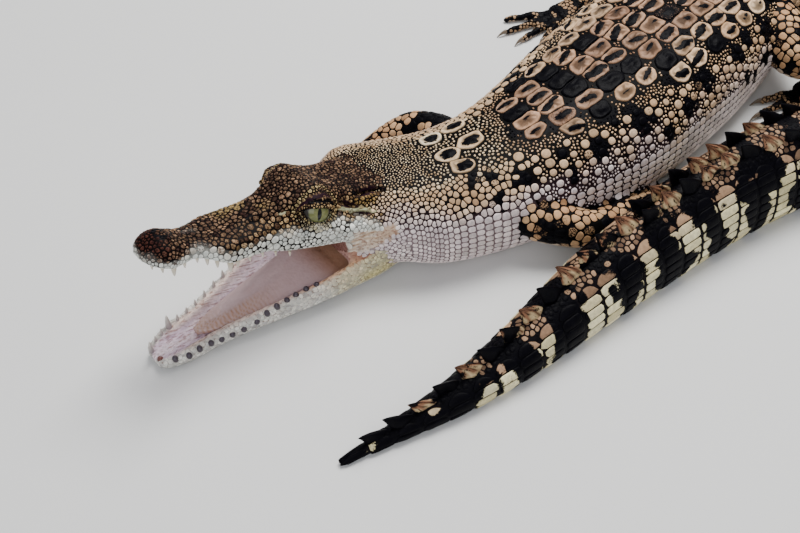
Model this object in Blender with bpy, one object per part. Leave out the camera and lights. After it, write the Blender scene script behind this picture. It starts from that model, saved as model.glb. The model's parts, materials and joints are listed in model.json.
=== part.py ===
"""A young saltwater crocodile, life size, lying with its mouth open and its tail curled forward.

The snout points along -Y, the animal's left side is +X, and the floor is the plane z = 0.
The body is one long loft along a plan curve, the spine, and every other part is set from
the jaw joint, which is where the spine starts. All lengths are metres.
"""

import math

import bmesh
import bpy
import numpy as np
from mathutils import Matrix, Vector

# Driving dimensions.
SKULL = 0.115  # snout tip to the back of the skull table
GAP = 0.0003  # clear space between neighbouring pieces
JAW_JOINT_HEIGHT = 0.021
JAW_JOINT_PLAN = (-0.0194, -0.099)  # where the jaw joint stands, seen from the middle of the footprint
HEAD_PITCH = math.radians(20.1)  # snout raised
HEAD_ROLL = math.radians(-3.6)  # left side raised
GAPE = math.radians(28.1)  # mouth opening
SKULL_LIFT = 0.015  # the cranium's zero level above the jaw joint, in skull lengths
JOINT_PLACE = 1.05  # the jaw joint, in skull lengths behind the snout tip

# Spine: heading in degrees (90 is +Y) at distances behind the jaw joint.
HEADINGS = [
    (0.0, 56), (0.04, 72), (0.08, 86), (0.12, 97), (0.16, 100), (0.20, 98), (0.24, 99), (0.28, 61),
    (0.32, 7), (0.36, -37), (0.40, -67), (0.44, -88), (0.48, -99), (0.56, -90), (0.64, -88),
    (0.72, -98), (0.747, -97),
]
LENGTH = HEADINGS[-1][0]
FACINGS = [(-0.02, 32), (0.0, 26), (0.035, 0), (LENGTH, 0)]  # turn of the sections towards the head
VENT = 0.278  # where the trunk ends and the tail begins
HALF_WIDTHS = [
    (-0.02, 0.026), (0.0, 0.0352), (0.03, 0.0358), (0.06, 0.0370), (0.09, 0.0415), (0.13, 0.0470),
    (0.17, 0.0485), (0.21, 0.045), (0.245, 0.037), (VENT, 0.028), (0.32, 0.0245), (0.40, 0.021),
    (0.50, 0.0185), (0.60, 0.0155), (0.65, 0.0125), (0.69, 0.0085), (0.72, 0.0050), (LENGTH, 0.0014),
]
TOPS = [
    (-0.02, 0.038), (0.0, 0.045), (0.03, 0.044), (0.06, 0.047), (0.09, 0.052), (0.13, 0.056),
    (0.17, 0.0575), (0.21, 0.056), (0.245, 0.052), (VENT, 0.048), (0.32, 0.044), (0.40, 0.041),
    (0.50, 0.0420), (0.60, 0.0315), (0.65, 0.0205), (0.69, 0.0125), (0.72, 0.0072), (LENGTH, 0.0028),
]
BOTTOMS = [
    (-0.02, 0.008), (0.0, 0.001), (0.03, -0.003), (0.06, -0.006), (0.10, -0.009), (0.21, -0.009),
    (VENT, -0.006), (0.40, -0.005), (0.60, -0.003), (LENGTH, -0.0003),
]
LEANS = [
    (-0.02, 0), (0.36, 0), (0.44, 0.001), (0.50, 0.003), (0.60, 0.004), (0.66, 0.001),
    (0.70, 0.0005), (LENGTH, 0),
]
UPPER_POWERS = [(-0.02, 2.3), (0.40, 2.3), (0.60, 1.9), (LENGTH, 1.9)]  # squareness of the sections
LOWER_POWER = 2.8
CUTS = {  # stretches of the spine, each a piece of its own
    "neck": (-0.012, 0.072), "trunk_front": (0.072, 0.172), "trunk_rear": (0.172, VENT),
    "tail_1": (VENT, 0.358), "tail_2": (0.358, 0.438), "tail_3": (0.438, 0.528),
    "tail_4": (0.528, 0.628), "tail_5": (0.628, LENGTH),
}

# Skull, in skull lengths: distance behind the snout tip, then the value there.
SNOUT_WIDTHS = [
    (0.0, 0.030), (0.02, 0.062), (0.06, 0.088), (0.10, 0.098), (0.15, 0.092), (0.19, 0.088),
    (0.25, 0.105), (0.33, 0.132), (0.40, 0.132), (0.47, 0.132), (0.56, 0.150), (0.66, 0.176),
    (0.78, 0.202), (0.90, 0.226), (1.0, 0.244), (1.06, 0.246), (1.12, 0.225),
]
CHEEK_TOPS = [
    (0.0, 0.026), (0.03, 0.050), (0.08, 0.062), (0.13, 0.052), (0.20, 0.036), (0.30, 0.042),
    (0.42, 0.066), (0.52, 0.084), (0.60, 0.092), (0.70, 0.088), (0.85, 0.094), (1.0, 0.100),
    (1.12, 0.090),
]
TABLE_WIDTHS = [
    (0.0, 0.02), (0.40, 0.050), (0.52, 0.092), (0.60, 0.142), (0.66, 0.160), (0.72, 0.152),
    (0.78, 0.150), (0.90, 0.160), (0.99, 0.168), (1.05, 0.164), (1.12, 0.150),
]
TABLE_TOPS = [
    (0.0, 0.02), (0.30, 0.040), (0.42, 0.082), (0.52, 0.120), (0.59, 0.174), (0.65, 0.203),
    (0.71, 0.188), (0.80, 0.172), (0.95, 0.174), (1.0, 0.168), (1.06, 0.140), (1.12, 0.120),
]
LIPS = [
    (0.0, -0.020), (0.03, -0.030), (0.10, -0.042), (0.15, -0.034), (0.19, -0.024), (0.24, -0.034),
    (0.31, -0.058), (0.38, -0.056), (0.46, -0.050), (0.56, -0.062), (0.66, -0.056), (0.80, -0.046),
    (1.0, -0.045), (1.12, -0.030),
]
LIP_POWER = 4.5  # squareness of the cranium's underside
MIDDLES = [(0.0, -0.004), (0.30, -0.004), (0.60, 0.020), (1.12, 0.025)]  # centres of the skull's sections
HEAD_STATIONS = [
    0.0, 0.02, 0.05, 0.09, 0.13, 0.17, 0.21, 0.26, 0.32, 0.38, 0.45, 0.51, 0.56, 0.60, 0.65, 0.70,
    0.75, 0.82, 0.90, 0.97, 1.01, 1.06, 1.12,
]

JAW_WIDTHS = [
    (-0.005, 0.034), (0.01, 0.060), (0.04, 0.082), (0.08, 0.095), (0.12, 0.104), (0.20, 0.112),
    (0.30, 0.130), (0.44, 0.166), (0.55, 0.196), (0.65, 0.221), (0.80, 0.249), (0.95, 0.270),
    (1.06, 0.270), (1.15, 0.236),
]
JAW_BOTTOMS = [
    (-0.005, -0.032), (0.03, -0.055), (0.10, -0.064), (0.30, -0.086), (0.50, -0.114),
    (0.65, -0.136), (0.80, -0.157), (0.92, -0.170), (1.06, -0.160), (1.15, -0.120),
]
JAW_RIMS = [(-0.005, 0.006), (0.05, 0.010), (0.65, 0.012), (0.80, 0.022), (1.0, 0.010), (1.15, -0.02)]
JAW_FLOORS = [
    (-0.005, 0.004), (0.08, 0.0), (0.16, -0.020), (0.30, -0.040), (0.60, -0.052), (0.90, -0.050),
    (1.15, -0.035),
]
JAW_RIM_BREADTH = 0.046
JAW_POWER = 3.4  # squareness of the lower jaw's outside
JAW_STATIONS = [
    -0.005, 0.01, 0.04, 0.08, 0.13, 0.20, 0.28, 0.36, 0.44, 0.52, 0.60, 0.68, 0.76, 0.84, 0.92,
    1.0, 1.07, 1.15,
]

# Teeth on each side: place behind the tip in skull lengths, then height in metres.
LOWER_TEETH = [
    (0.010, 0.0044), (0.045, 0.0026), (0.078, 0.0028), (0.118, 0.0058), (0.160, 0.0026),
    (0.205, 0.0024), (0.250, 0.0024), (0.300, 0.0026), (0.352, 0.0028), (0.405, 0.0032),
    (0.458, 0.0034), (0.510, 0.0030), (0.560, 0.0026), (0.607, 0.0024), (0.650, 0.0020),
]
UPPER_TEETH = [
    (0.030, 0.0030), (0.062, 0.0034), (0.100, 0.0040), (0.138, 0.0032), (0.235, 0.0030),
    (0.275, 0.0038), (0.318, 0.0048), (0.362, 0.0036), (0.410, 0.0030), (0.462, 0.0030),
    (0.515, 0.0034), (0.570, 0.0030),
]
TOOTH_SLIMNESS = 0.40  # base radius over height
TOOTH_ROOT = 0.0014  # depth of a tooth in its gum
EYE_RADIUS = 0.0088
EYE_PLACE = (0.668, 0.098, 0.094)  # centre, in skull lengths: behind the tip, outwards, up

# Crest of the tail: two rows that close in and become one.
WHORL_FIRST = 0.290
WHORL_PITCH = 0.0116
CREST_JOINS = 0.578
CREST_HEIGHTS = [
    (0.28, 0.0045), (0.36, 0.0060), (0.45, 0.0085), (0.56, 0.0110), (0.62, 0.0115), (0.69, 0.0060),
    (0.74, 0.0018),
]

# Legs: centre line, half-breadth and half-thickness at the root, the middle of the upper leg,
# the elbow or knee, the middle of the lower leg and the wrist or ankle. Places are measured
# from the jaw joint's foot, x to the left and y back.
LEGS = {
    "fore_left": [
        (0.036, 0.044, 0.022, 0.0125, 0.0135), (0.057, 0.055, 0.0175, 0.0110, 0.0115),
        (0.073, 0.073, 0.0120, 0.0085, 0.0088), (0.0735, 0.094, 0.0092, 0.0074, 0.0070),
        (0.0730, 0.109, 0.0064, 0.0068, 0.0052),
    ],
    "fore_right": [
        (0.004, 0.052, 0.022, 0.012, 0.013), (-0.016, 0.056, 0.0205, 0.0105, 0.0105),
        (-0.033, 0.051, 0.0175, 0.0088, 0.0092), (-0.0405, 0.039, 0.0120, 0.0078, 0.0076),
        (-0.0440, 0.027, 0.0068, 0.0070, 0.0054),
    ],
    "hind_left": [
        (0.016, 0.246, 0.026, 0.015, 0.018), (0.038, 0.234, 0.027, 0.0150, 0.0160),
        (0.0565, 0.227, 0.0235, 0.0110, 0.0115), (0.0665, 0.237, 0.0175, 0.0090, 0.0090),
        (0.0680, 0.251, 0.0105, 0.0078, 0.0068),
    ],
    "hind_right": [
        (-0.012, 0.243, 0.026, 0.015, 0.018), (-0.031, 0.216, 0.027, 0.0150, 0.0160),
        (-0.047, 0.193, 0.0240, 0.0112, 0.0120), (-0.0590, 0.202, 0.0170, 0.0094, 0.0092),
        (-0.0660, 0.212, 0.0105, 0.0080, 0.0068),
    ],
}
# Feet: the heel, the arch and the ball of each, in the same measures.
FEET = {
    "fore_left": [
        (0.0735, 0.108, 0.0052, 0.0066, 0.0052), (0.0735, 0.118, 0.0042, 0.0080, 0.0042),
        (0.0732, 0.128, 0.0030, 0.0076, 0.0030),
    ],
    "fore_right": [
        (-0.0440, 0.028, 0.0052, 0.0066, 0.0052), (-0.0450, 0.018, 0.0042, 0.0086, 0.0042),
        (-0.0455, 0.008, 0.0030, 0.0084, 0.0030),
    ],
    "hind_left": [
        (0.0670, 0.256, 0.0050, 0.0066, 0.0050), (0.0670, 0.244, 0.0046, 0.0080, 0.0046),
        (0.0670, 0.229, 0.0034, 0.0088, 0.0034),
    ],
    "hind_right": [
        (-0.0680, 0.216, 0.0050, 0.0066, 0.0050), (-0.0685, 0.203, 0.0046, 0.0086, 0.0046),
        (-0.0705, 0.185, 0.0034, 0.0096, 0.0034),
    ],
}
# Toes: turn away from the foot's direction in degrees, then length, from the inner toe outwards.
FORE_TOES = [(26, 0.012), (13, 0.016), (0, 0.018), (-13, 0.016), (-26, 0.012)]
HIND_TOES = [(24, 0.022), (8, 0.030), (-8, 0.033), (-26, 0.029)]
TOE_RADIUS = 0.0026
CLAWED_TOES = 3
CLAW_LENGTH = 0.0052
WEB_THICKNESS = 0.0009

# Fineness of the lofts.
BODY_SIDES = 18
TAIL_SIDES = 12
HEAD_SIDES = 18
LEG_SIDES = 8
LEG_STEPS = 2  # sections between two named places of a leg
TOE_SIDES = 5


def clear_scene():
    for item in list(bpy.data.objects):
        bpy.data.objects.remove(item)


def new_collection(name, hidden=False):
    group = bpy.data.collections.new(name)
    group.hide_render = hidden
    bpy.context.scene.collection.children.link(group)
    return group


def new_material(name, colour, roughness):
    made = bpy.data.materials.new(name)
    made.use_nodes = True
    shader = made.node_tree.nodes["Principled BSDF"]
    shader.inputs["Base Color"].default_value = (*colour, 1.0)
    shader.inputs["Roughness"].default_value = roughness
    return made


def ease(knots, place):
    """The value at a place on a smooth curve through the knots, which never overshoots them."""
    x, y = np.array(knots, float).T
    step = np.diff(x)
    slope = np.diff(y) / step
    tangent = np.zeros(len(x))
    tangent[0], tangent[-1] = slope[0], slope[-1]
    rising = slope[:-1] * slope[1:] > 0
    total = np.where(rising, slope[:-1] + slope[1:], 1.0)
    tangent[1:-1] = np.where(rising, 2 * slope[:-1] * slope[1:] / total, 0.0)
    i = np.clip(np.searchsorted(x, place, side="right") - 1, 0, len(step) - 1)
    t = np.clip((place - x[i]) / step[i], 0.0, 1.0)
    rise = y[i] + (y[i + 1] - y[i]) * (3 * t**2 - 2 * t**3)
    return rise + step[i] * (tangent[i] * (t**3 - 2 * t**2 + t) + tangent[i + 1] * (t**3 - t**2))


# The spine in plan, walked in short steps.
WALK = np.linspace(0.0, LENGTH, 1495)
WALK_HEADING = np.radians(ease(HEADINGS, WALK))
WALK_STEP = WALK[1] - WALK[0]
WALK_X = np.concatenate([[0.0], np.cumsum(np.cos(WALK_HEADING[:-1]) * WALK_STEP)])
WALK_Y = np.concatenate([[0.0], np.cumsum(np.sin(WALK_HEADING[:-1]) * WALK_STEP)])


def spine_at(s):
    """Plan point, direction back along the body and direction to the animal's left at s."""
    heading = np.interp(s, WALK, WALK_HEADING)
    point = np.array([np.interp(s, WALK, WALK_X), np.interp(s, WALK, WALK_Y)])
    back = np.array([math.cos(heading), math.sin(heading)])
    facing = heading + math.radians(ease(FACINGS, s))
    point = point + np.array([math.cos(facing), math.sin(facing)]) * min(s, 0.0)
    return point, back, np.array([math.sin(facing), -math.cos(facing)])


def body_ring(s, sides, grow=0.0):
    """A section of the body: a soft rectangle, flat where it lies on the floor."""
    point, _, left = spine_at(s)
    half = ease(HALF_WIDTHS, s) + grow
    top = ease(TOPS, s) + grow
    bottom = ease(BOTTOMS, s) - grow
    middle = bottom + 0.5 * (top - bottom)
    turn = np.linspace(0, 2 * np.pi, sides, endpoint=False) + np.pi / sides
    power = np.where(np.sin(turn) > 0, ease(UPPER_POWERS, s), LOWER_POWER)
    across = np.sign(np.cos(turn)) * np.abs(np.cos(turn)) ** (2 / power) * half
    up = np.sign(np.sin(turn)) * np.abs(np.sin(turn)) ** (2 / power) * (top - middle)
    height = np.maximum(middle + up, -grow * 4)
    across = across + ease(LEANS, s) * height / top
    return np.column_stack([point[0] + left[0] * across, point[1] + left[1] * across, height])


def head_frame(pitch, roll):
    """Unit vectors back, left and up of a head turned by pitch and roll."""
    back = np.array([0.0, math.cos(pitch), -math.sin(pitch)])
    up = np.array([0.0, math.sin(pitch), math.cos(pitch)])
    side = np.array([1.0, 0.0, 0.0])
    return back, side * math.cos(roll) - up * math.sin(roll), up * math.cos(roll) + side * math.sin(roll)


def skull_point(place, out, up):
    """World point of a place given in skull lengths on the cranium."""
    back, left, high = head_frame(HEAD_PITCH, HEAD_ROLL)
    joint = np.array([0.0, 0.0, JAW_JOINT_HEIGHT])
    return joint + SKULL * ((place - JOINT_PLACE) * back + out * left + (up + SKULL_LIFT) * high)


def jaw_point(place, out, up):
    """World point of a place given in skull lengths on the lower jaw."""
    back, left, high = head_frame(HEAD_PITCH - GAPE, 0.0)
    joint = np.array([0.0, 0.0, JAW_JOINT_HEIGHT])
    return joint + SKULL * ((place - JOINT_PLACE) * back + out * left + up * high)


def reach(angle, half, height, power):
    """Radius of a superellipse in the direction of angle."""
    c, s = np.abs(np.cos(angle)) / half, np.abs(np.sin(angle)) / height
    return (c**power + s**power) ** (-1 / power)


def skull_ring(place, sides, grow=0.0):
    """A section of the cranium: a low broad block with the raised brows and table on it."""
    turn = np.linspace(0, 2 * np.pi, sides, endpoint=False) + np.pi / sides
    wide = ease(SNOUT_WIDTHS, place)
    middle = ease(MIDDLES, place)
    cheek = reach(turn, wide, ease(CHEEK_TOPS, place) - middle, 2.4)
    table = reach(turn, ease(TABLE_WIDTHS, place), ease(TABLE_TOPS, place) - middle, 3.6)
    above = (cheek**8 + table**8) ** (1 / 8)
    below = reach(turn, wide, middle - ease(LIPS, place), LIP_POWER)
    radius = np.where(np.sin(turn) > 0, above, below) + grow / SKULL
    return np.array([
        skull_point(place, r * math.cos(a), middle + r * math.sin(a)) for r, a in zip(radius, turn)
    ])


def jaw_ring(place, sides, grow=0.0):
    """A section of the lower jaw: a trough between two rims."""
    wide = ease(JAW_WIDTHS, place)
    rim = ease(JAW_RIMS, place)
    low = ease(JAW_BOTTOMS, place)
    sunk = ease(JAW_FLOORS, place)
    spread = grow / SKULL
    outer = np.linspace(np.pi, 2 * np.pi, sides - 6)
    cos, sin = np.cos(outer), np.sin(outer)
    bulge = 1 - 0.07 * np.abs(cos) ** 6
    across = list(np.sign(cos) * np.abs(cos) ** (2 / JAW_POWER) * (wide * bulge + spread))
    high = list(rim - np.abs(sin) ** (2 / JAW_POWER) * (rim - low + spread) + spread * (sin > -0.01))
    inner = wide - min(JAW_RIM_BREADTH, wide * 0.45)
    for share, depth in ((1.0, 0.0), (0.86, 0.85), (0.35, 1.0), (-0.35, 1.0), (-0.86, 0.85), (-1.0, 0.0)):
        across.append(inner * share)
        high.append(rim + (sunk - rim) * depth + spread)
    ring = np.array([jaw_point(place, a, h) for a, h in zip(across, high)])
    ring[:, 2] = np.maximum(ring[:, 2], -grow * 4)
    return ring


def loft(name, rings):
    """A closed mesh through rings of equal counts of points, with flat ends."""
    work = bmesh.new()
    rows = [[work.verts.new(p) for p in ring] for ring in rings]
    for here, there in zip(rows, rows[1:]):
        for i in range(len(here)):
            j = (i + 1) % len(here)
            work.faces.new((here[i], here[j], there[j], there[i]))
    work.faces.new(rows[0][::-1])
    work.faces.new(rows[-1])
    bmesh.ops.triangulate(work, faces=work.faces)
    bmesh.ops.recalc_face_normals(work, faces=work.faces)
    return from_bmesh(name, work)


def from_bmesh(name, work):
    mesh = bpy.data.meshes.new(name)
    work.to_mesh(mesh)
    work.free()
    return bpy.data.objects.new(name, mesh)


def keep(item, group, material=None):
    """Puts an object in its collection and gives it its material."""
    group.objects.link(item)
    if group.hide_render:
        item.hide_render = True
        item.display_type = "WIRE"
    if material:
        item.data.materials.append(material)
        item.data.shade_smooth()
        item.data.set_sharp_from_angle(angle=math.radians(45))
    return item


def boolean(item, cutter, operation):
    change = item.modifiers.new(cutter.name, "BOOLEAN")
    change.operation = operation
    change.object = cutter
    change.solver = "EXACT"


def stations(name):
    """Places of a body piece's sections, half a gap short at each end."""
    start, end = CUTS[name]
    return np.linspace(start + GAP / 2, end - GAP / 2, max(5, round((end - start) / 0.0145)))


def body_piece(name, sides):
    """One stretch of the body, cut square to the spine."""
    return loft(name, [body_ring(s, sides) for s in stations(name)])


def head_volume(name, grow=0.0):
    stations = np.array(HEAD_STATIONS)
    stations[0] -= grow / SKULL
    stations[-1] += grow / SKULL
    return loft(name, [skull_ring(p, HEAD_SIDES, grow) for p in stations])


def jaw_volume(name, grow=0.0):
    stations = np.array(JAW_STATIONS)
    stations[0] -= grow / SKULL
    stations[-1] += grow / SKULL
    return loft(name, [jaw_ring(p, 18, grow) for p in stations])


def cones(name, roots, tips, radii, sides):
    """Many cones in one mesh, each from its root to its tip."""
    work = bmesh.new()
    for root, tip, radius in zip(roots, tips, radii):
        axis = Vector(tip) - Vector(root)
        turn = Vector((0, 0, 1)).rotation_difference(axis).to_matrix().to_4x4()
        place = Matrix.Translation((Vector(root) + Vector(tip)) / 2) @ turn
        bmesh.ops.create_cone(
            work, cap_ends=True, segments=sides, radius1=radius, radius2=0.0,
            depth=axis.length, matrix=place,
        )
    bmesh.ops.triangulate(work, faces=work.faces)
    return from_bmesh(name, work)


def lip_height(place, out):
    """Height of the cranium's underside at a place and a distance from the middle."""
    share = min(1.0, out / ease(SNOUT_WIDTHS, place))
    middle = ease(MIDDLES, place)
    return middle - (middle - ease(LIPS, place)) * (1 - share**LIP_POWER) ** (1 / LIP_POWER)


def rim_height(place, out):
    return ease(JAW_RIMS, place)


def teeth(name, table, point, edge, gum, inset, direction):
    """Both rows of one jaw, sunk into the gum."""
    roots, tips, radii = [], [], []
    for side in (1, -1):
        for place, height in table:
            out = ease(edge, place) - inset
            base = gum(place, out)
            root = point(place, side * out, base - direction * TOOTH_ROOT / SKULL)
            tip = point(place - 0.004, side * out * 1.03, base + direction * height / SKULL)
            roots.append(root)
            tips.append(tip)
            radii.append(height * TOOTH_SLIMNESS)
    return cones(name, roots, tips, radii, 4)


def eyeball(name, side, radius):
    place, out, up = EYE_PLACE
    work = bmesh.new()
    centre = skull_point(place, side * out, up)
    bmesh.ops.create_uvsphere(
        work, u_segments=12, v_segments=6, radius=radius, matrix=Matrix.Translation(centre)
    )
    bmesh.ops.triangulate(work, faces=work.faces)
    return from_bmesh(name, work)


def tongue_rings():
    """A low broad tongue lying between the lower jaw's rims."""
    rings = []
    for place in (0.27, 0.30, 0.36, 0.46, 0.58, 0.70, 0.78):
        share = (place - 0.27) / (0.78 - 0.27)
        half = 0.018 + (ease(JAW_WIDTHS, place) - 0.105) * min(1.0, 4 * share)
        base = ease(JAW_FLOORS, place) + 0.008
        thick = 0.010 + 0.020 * math.sin(math.pi * min(1.0, 0.15 + share)) ** 0.5
        turn = np.linspace(0, 2 * np.pi, 10, endpoint=False)
        rings.append(np.array([
            jaw_point(place, half * math.cos(a), base + thick * (0.5 + 0.5 * math.sin(a))) for a in turn
        ]))
    return rings


def lining_rings():
    """The stretched corners of the mouth: a wedge between the two jaws."""
    rings = []
    for place in (0.82, 0.86, 0.90, 0.935):
        half = min(ease(SNOUT_WIDTHS, place), ease(JAW_WIDTHS, place)) - 0.012
        roof = [skull_point(place, half * k, ease(LIPS, place) - 0.010) for k in (-1, -0.5, 0, 0.5, 1)]
        floor = [jaw_point(place, half * k, ease(JAW_RIMS, place) + 0.006) for k in (1, 0.5, 0, -0.5, -1)]
        rings.append(np.array(roof + floor))
    return rings


def crest_scutes(name):
    """The keeled scutes along the top of one stretch of tail: low pyramids that lean back."""
    start, end = CUTS[name]
    work = bmesh.new()
    for k in range(int((LENGTH - WHORL_FIRST) / WHORL_PITCH)):
        s = WHORL_FIRST + k * WHORL_PITCH
        if s < start + 0.001 or s + WHORL_PITCH * 0.92 > end - 0.001:
            continue
        height = ease(CREST_HEIGHTS, s)
        apart = 0.62 * ease(HALF_WIDTHS, s) * min(1.0, (CREST_JOINS - s) / 0.16)
        for side in (1, -1) if s < CREST_JOINS else (0,):
            offset = side * max(apart, 0.0032)
            scute(work, s, s + WHORL_PITCH * 0.92, offset, height)
    return from_bmesh(name + "_crest", work)


def surface_top(s, offset):
    """Height of the body's surface at a lateral offset."""
    half, top, bottom = ease(HALF_WIDTHS, s), ease(TOPS, s), ease(BOTTOMS, s)
    middle = bottom + 0.5 * (top - bottom)
    share = min(0.98, abs(offset) / half)
    power = ease(UPPER_POWERS, s)
    return middle + (top - middle) * (1 - share**power) ** (1 / power)


def scute(work, start, end, offset, height):
    """One pyramid from start to end along the spine, its point near the back."""
    half = min(0.0026, 0.6 * ease(HALF_WIDTHS, end))
    corners = []
    for s, across in ((start, -half), (start, half), (end, half), (end, -half)):
        point, _, left = spine_at(s)
        sunk = surface_top(s, offset) - 0.0014
        where = point + left * (offset + across + ease(LEANS, s) * sunk / ease(TOPS, s))
        corners.append(work.verts.new((where[0], where[1], sunk)))
    s = start + 0.92 * (end - start)
    point, _, left = spine_at(s)
    high = surface_top(s, offset) + height
    where = point + left * (offset * 1.15 + ease(LEANS, s) * high / ease(TOPS, s))
    tip = work.verts.new((where[0], where[1], high))
    base = work.faces.new(corners[::-1])
    sides = [work.faces.new((corners[i], corners[(i + 1) % 4], tip)) for i in range(4)]
    bmesh.ops.triangulate(work, faces=[base])
    return sides


def limb_path(table, steps):
    """Points, directions and half-sizes along a leg, smoothed between its named places."""
    table = np.array(table)
    at = np.arange(len(table))
    where = np.linspace(0, len(table) - 1, steps)
    smooth = [ease(np.column_stack([at, column]), where) for column in table.T]
    points = np.column_stack(smooth[:3])
    along = np.gradient(points, axis=0)
    along /= np.linalg.norm(along, axis=1)[:, None]
    return points, along, smooth[3], smooth[4]


def limb_ring(point, along, broad, thick, sides, grow=0.0):
    """An oval section of a leg, square to its direction, never below the floor."""
    side = np.cross(along, (0, 0, 1))
    side /= np.linalg.norm(side)
    up = np.cross(side, along)
    turn = np.linspace(0, 2 * np.pi, sides, endpoint=False) + np.pi / sides
    ring = point + np.outer(np.cos(turn) * (broad + grow), side) + np.outer(np.sin(turn) * (thick + grow), up)
    ring[:, 2] = np.maximum(ring[:, 2], 0.0)
    return ring


def leg_piece(name, table, first, last, grow=0.0):
    """The stretch of a leg between two of its named places."""
    points, along, broad, thick = limb_path(table, (len(table) - 1) * LEG_STEPS + 1)
    points[last * LEG_STEPS] += along[last * LEG_STEPS] * grow
    span = slice(first * LEG_STEPS, last * LEG_STEPS + 1)
    rows = zip(points[span], along[span], broad[span], thick[span])
    return loft(name, [limb_ring(*row, LEG_SIDES, grow) for row in rows])


def foot_sole(name, table, grow=0.0):
    """The foot without its toes."""
    points, along, broad, thick = limb_path(table, 5)
    points[0] -= along[0] * grow
    points[-1] += along[-1] * grow
    rows = zip(points, along, broad, thick)
    return loft(name, [limb_ring(*row, LEG_SIDES, grow) for row in rows])


def toe_line(table, turn, length):
    """Root, knuckle and tip of a toe that lies on the floor."""
    end, before = np.array(table[-1][:3]), np.array(table[-2][:3])
    forward = (end - before) * (1, 1, 0)
    forward /= np.linalg.norm(forward)
    angle = math.radians(turn)
    cos, sin = math.cos(angle), math.sin(angle)
    out = np.array([forward[0] * cos - forward[1] * sin, forward[0] * sin + forward[1] * cos, 0.0])
    across = np.array([-forward[1], forward[0], 0.0])
    root = end * (1, 1, 0) + across * table[-1][3] * 0.62 * math.sin(angle * 1.6) + (0, 0, 0.0026)
    return root - out * 0.003, root + out * length * 0.55 + (0, 0, 0.0006), root + out * length, out


def toe(name, table, turn, length):
    root, knuckle, tip, out = toe_line(table, turn, length)
    rings = []
    for share, size in ((0.0, 0.95), (0.5, 1.0), (0.8, 0.85), (1.0, 0.55)):
        point = root + (knuckle - root) * min(1, share * 1.6) + (tip - knuckle) * max(0, share - 0.625) / 0.375
        radius = TOE_RADIUS * size
        rings.append(limb_ring(np.array([point[0], point[1], radius * 0.8]), out, radius, radius, TOE_SIDES))
    return loft(name, rings), tip, out


def web(name, table, toes):
    """The skin between the toes of a hind foot, a thin fan."""
    points = [np.array(table[-1][:2])]
    for turn, length in toes:
        _, knuckle, tip, _ = toe_line(table, turn, length)
        points.append((knuckle + (tip - knuckle) * 0.35)[:2])
    work = bmesh.new()
    lower = [work.verts.new((p[0], p[1], 0.0004)) for p in points]
    face = work.faces.new(lower)
    made = bmesh.ops.extrude_face_region(work, geom=[face])
    raised = [v for v in made["geom"] if isinstance(v, bmesh.types.BMVert)]
    bmesh.ops.translate(work, verts=raised, vec=(0, 0, WEB_THICKNESS))
    bmesh.ops.triangulate(work, faces=work.faces)
    bmesh.ops.recalc_face_normals(work, faces=work.faces)
    return from_bmesh(name, work)


def claw(name, tip, out, radius):
    """A short hooked claw, its root a gap in front of the toe."""
    rings = []
    for share, size in ((0.0, 1.0), (0.55, 0.7), (1.0, 0.12)):
        point = tip + out * (GAP + CLAW_LENGTH * share)
        height = radius * 0.9 + 0.0012 * math.sin(math.pi * min(1.0, share * 1.1))
        along = out + np.array([0.0, 0.0, 0.35 - 1.0 * share])
        along /= np.linalg.norm(along)
        point = np.array([point[0], point[1], height])
        rings.append(limb_ring(point, along if share else out, radius * size, radius * size * 1.15, 5))
    return loft(name, rings)


def build_head(parts, cutters, looks):
    head = keep(head_volume("head"), parts, looks["crown"])
    jaw = keep(jaw_volume("lower_jaw"), parts, looks["throat"])
    head_room = keep(head_volume("head_room", GAP), cutters)
    jaw_room = keep(jaw_volume("jaw_room", GAP), cutters)
    for side, name in ((1, "eye_left"), (-1, "eye_right")):
        keep(eyeball(name, side, EYE_RADIUS), parts, looks["eye"])
        boolean(head, keep(eyeball(name + "_socket", side, EYE_RADIUS + GAP), cutters), "DIFFERENCE")
    boolean(jaw, head_room, "DIFFERENCE")
    upper = teeth("upper_teeth", UPPER_TEETH, skull_point, SNOUT_WIDTHS, lip_height, 0.024, -1)
    lower = teeth("lower_teeth", LOWER_TEETH, jaw_point, JAW_WIDTHS, rim_height, 0.028, 1)
    boolean(head, keep(upper, cutters), "UNION")
    boolean(jaw, keep(lower, cutters), "UNION")
    keep(loft("tongue", tongue_rings()), parts, looks["tongue"])
    lining = keep(loft("mouth_lining", lining_rings()), parts, looks["tongue"])
    places = np.concatenate([[CUTS["neck"][0] - GAP], stations("neck")])
    neck_room = keep(loft("neck_room", [body_ring(s, BODY_SIDES, GAP) for s in places]), cutters)
    boolean(lining, neck_room, "DIFFERENCE")
    return head_room, jaw_room


def build_body(parts, cutters, looks, head_room, jaw_room):
    for name in CUTS:
        on_tail = name.startswith("tail")
        piece = keep(body_piece(name, TAIL_SIDES if on_tail else BODY_SIDES), parts, looks["hide"])
        if on_tail:
            boolean(piece, keep(crest_scutes(name), cutters), "UNION")
        if name == "neck":
            boolean(piece, head_room, "DIFFERENCE")
            boolean(piece, jaw_room, "DIFFERENCE")


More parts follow.
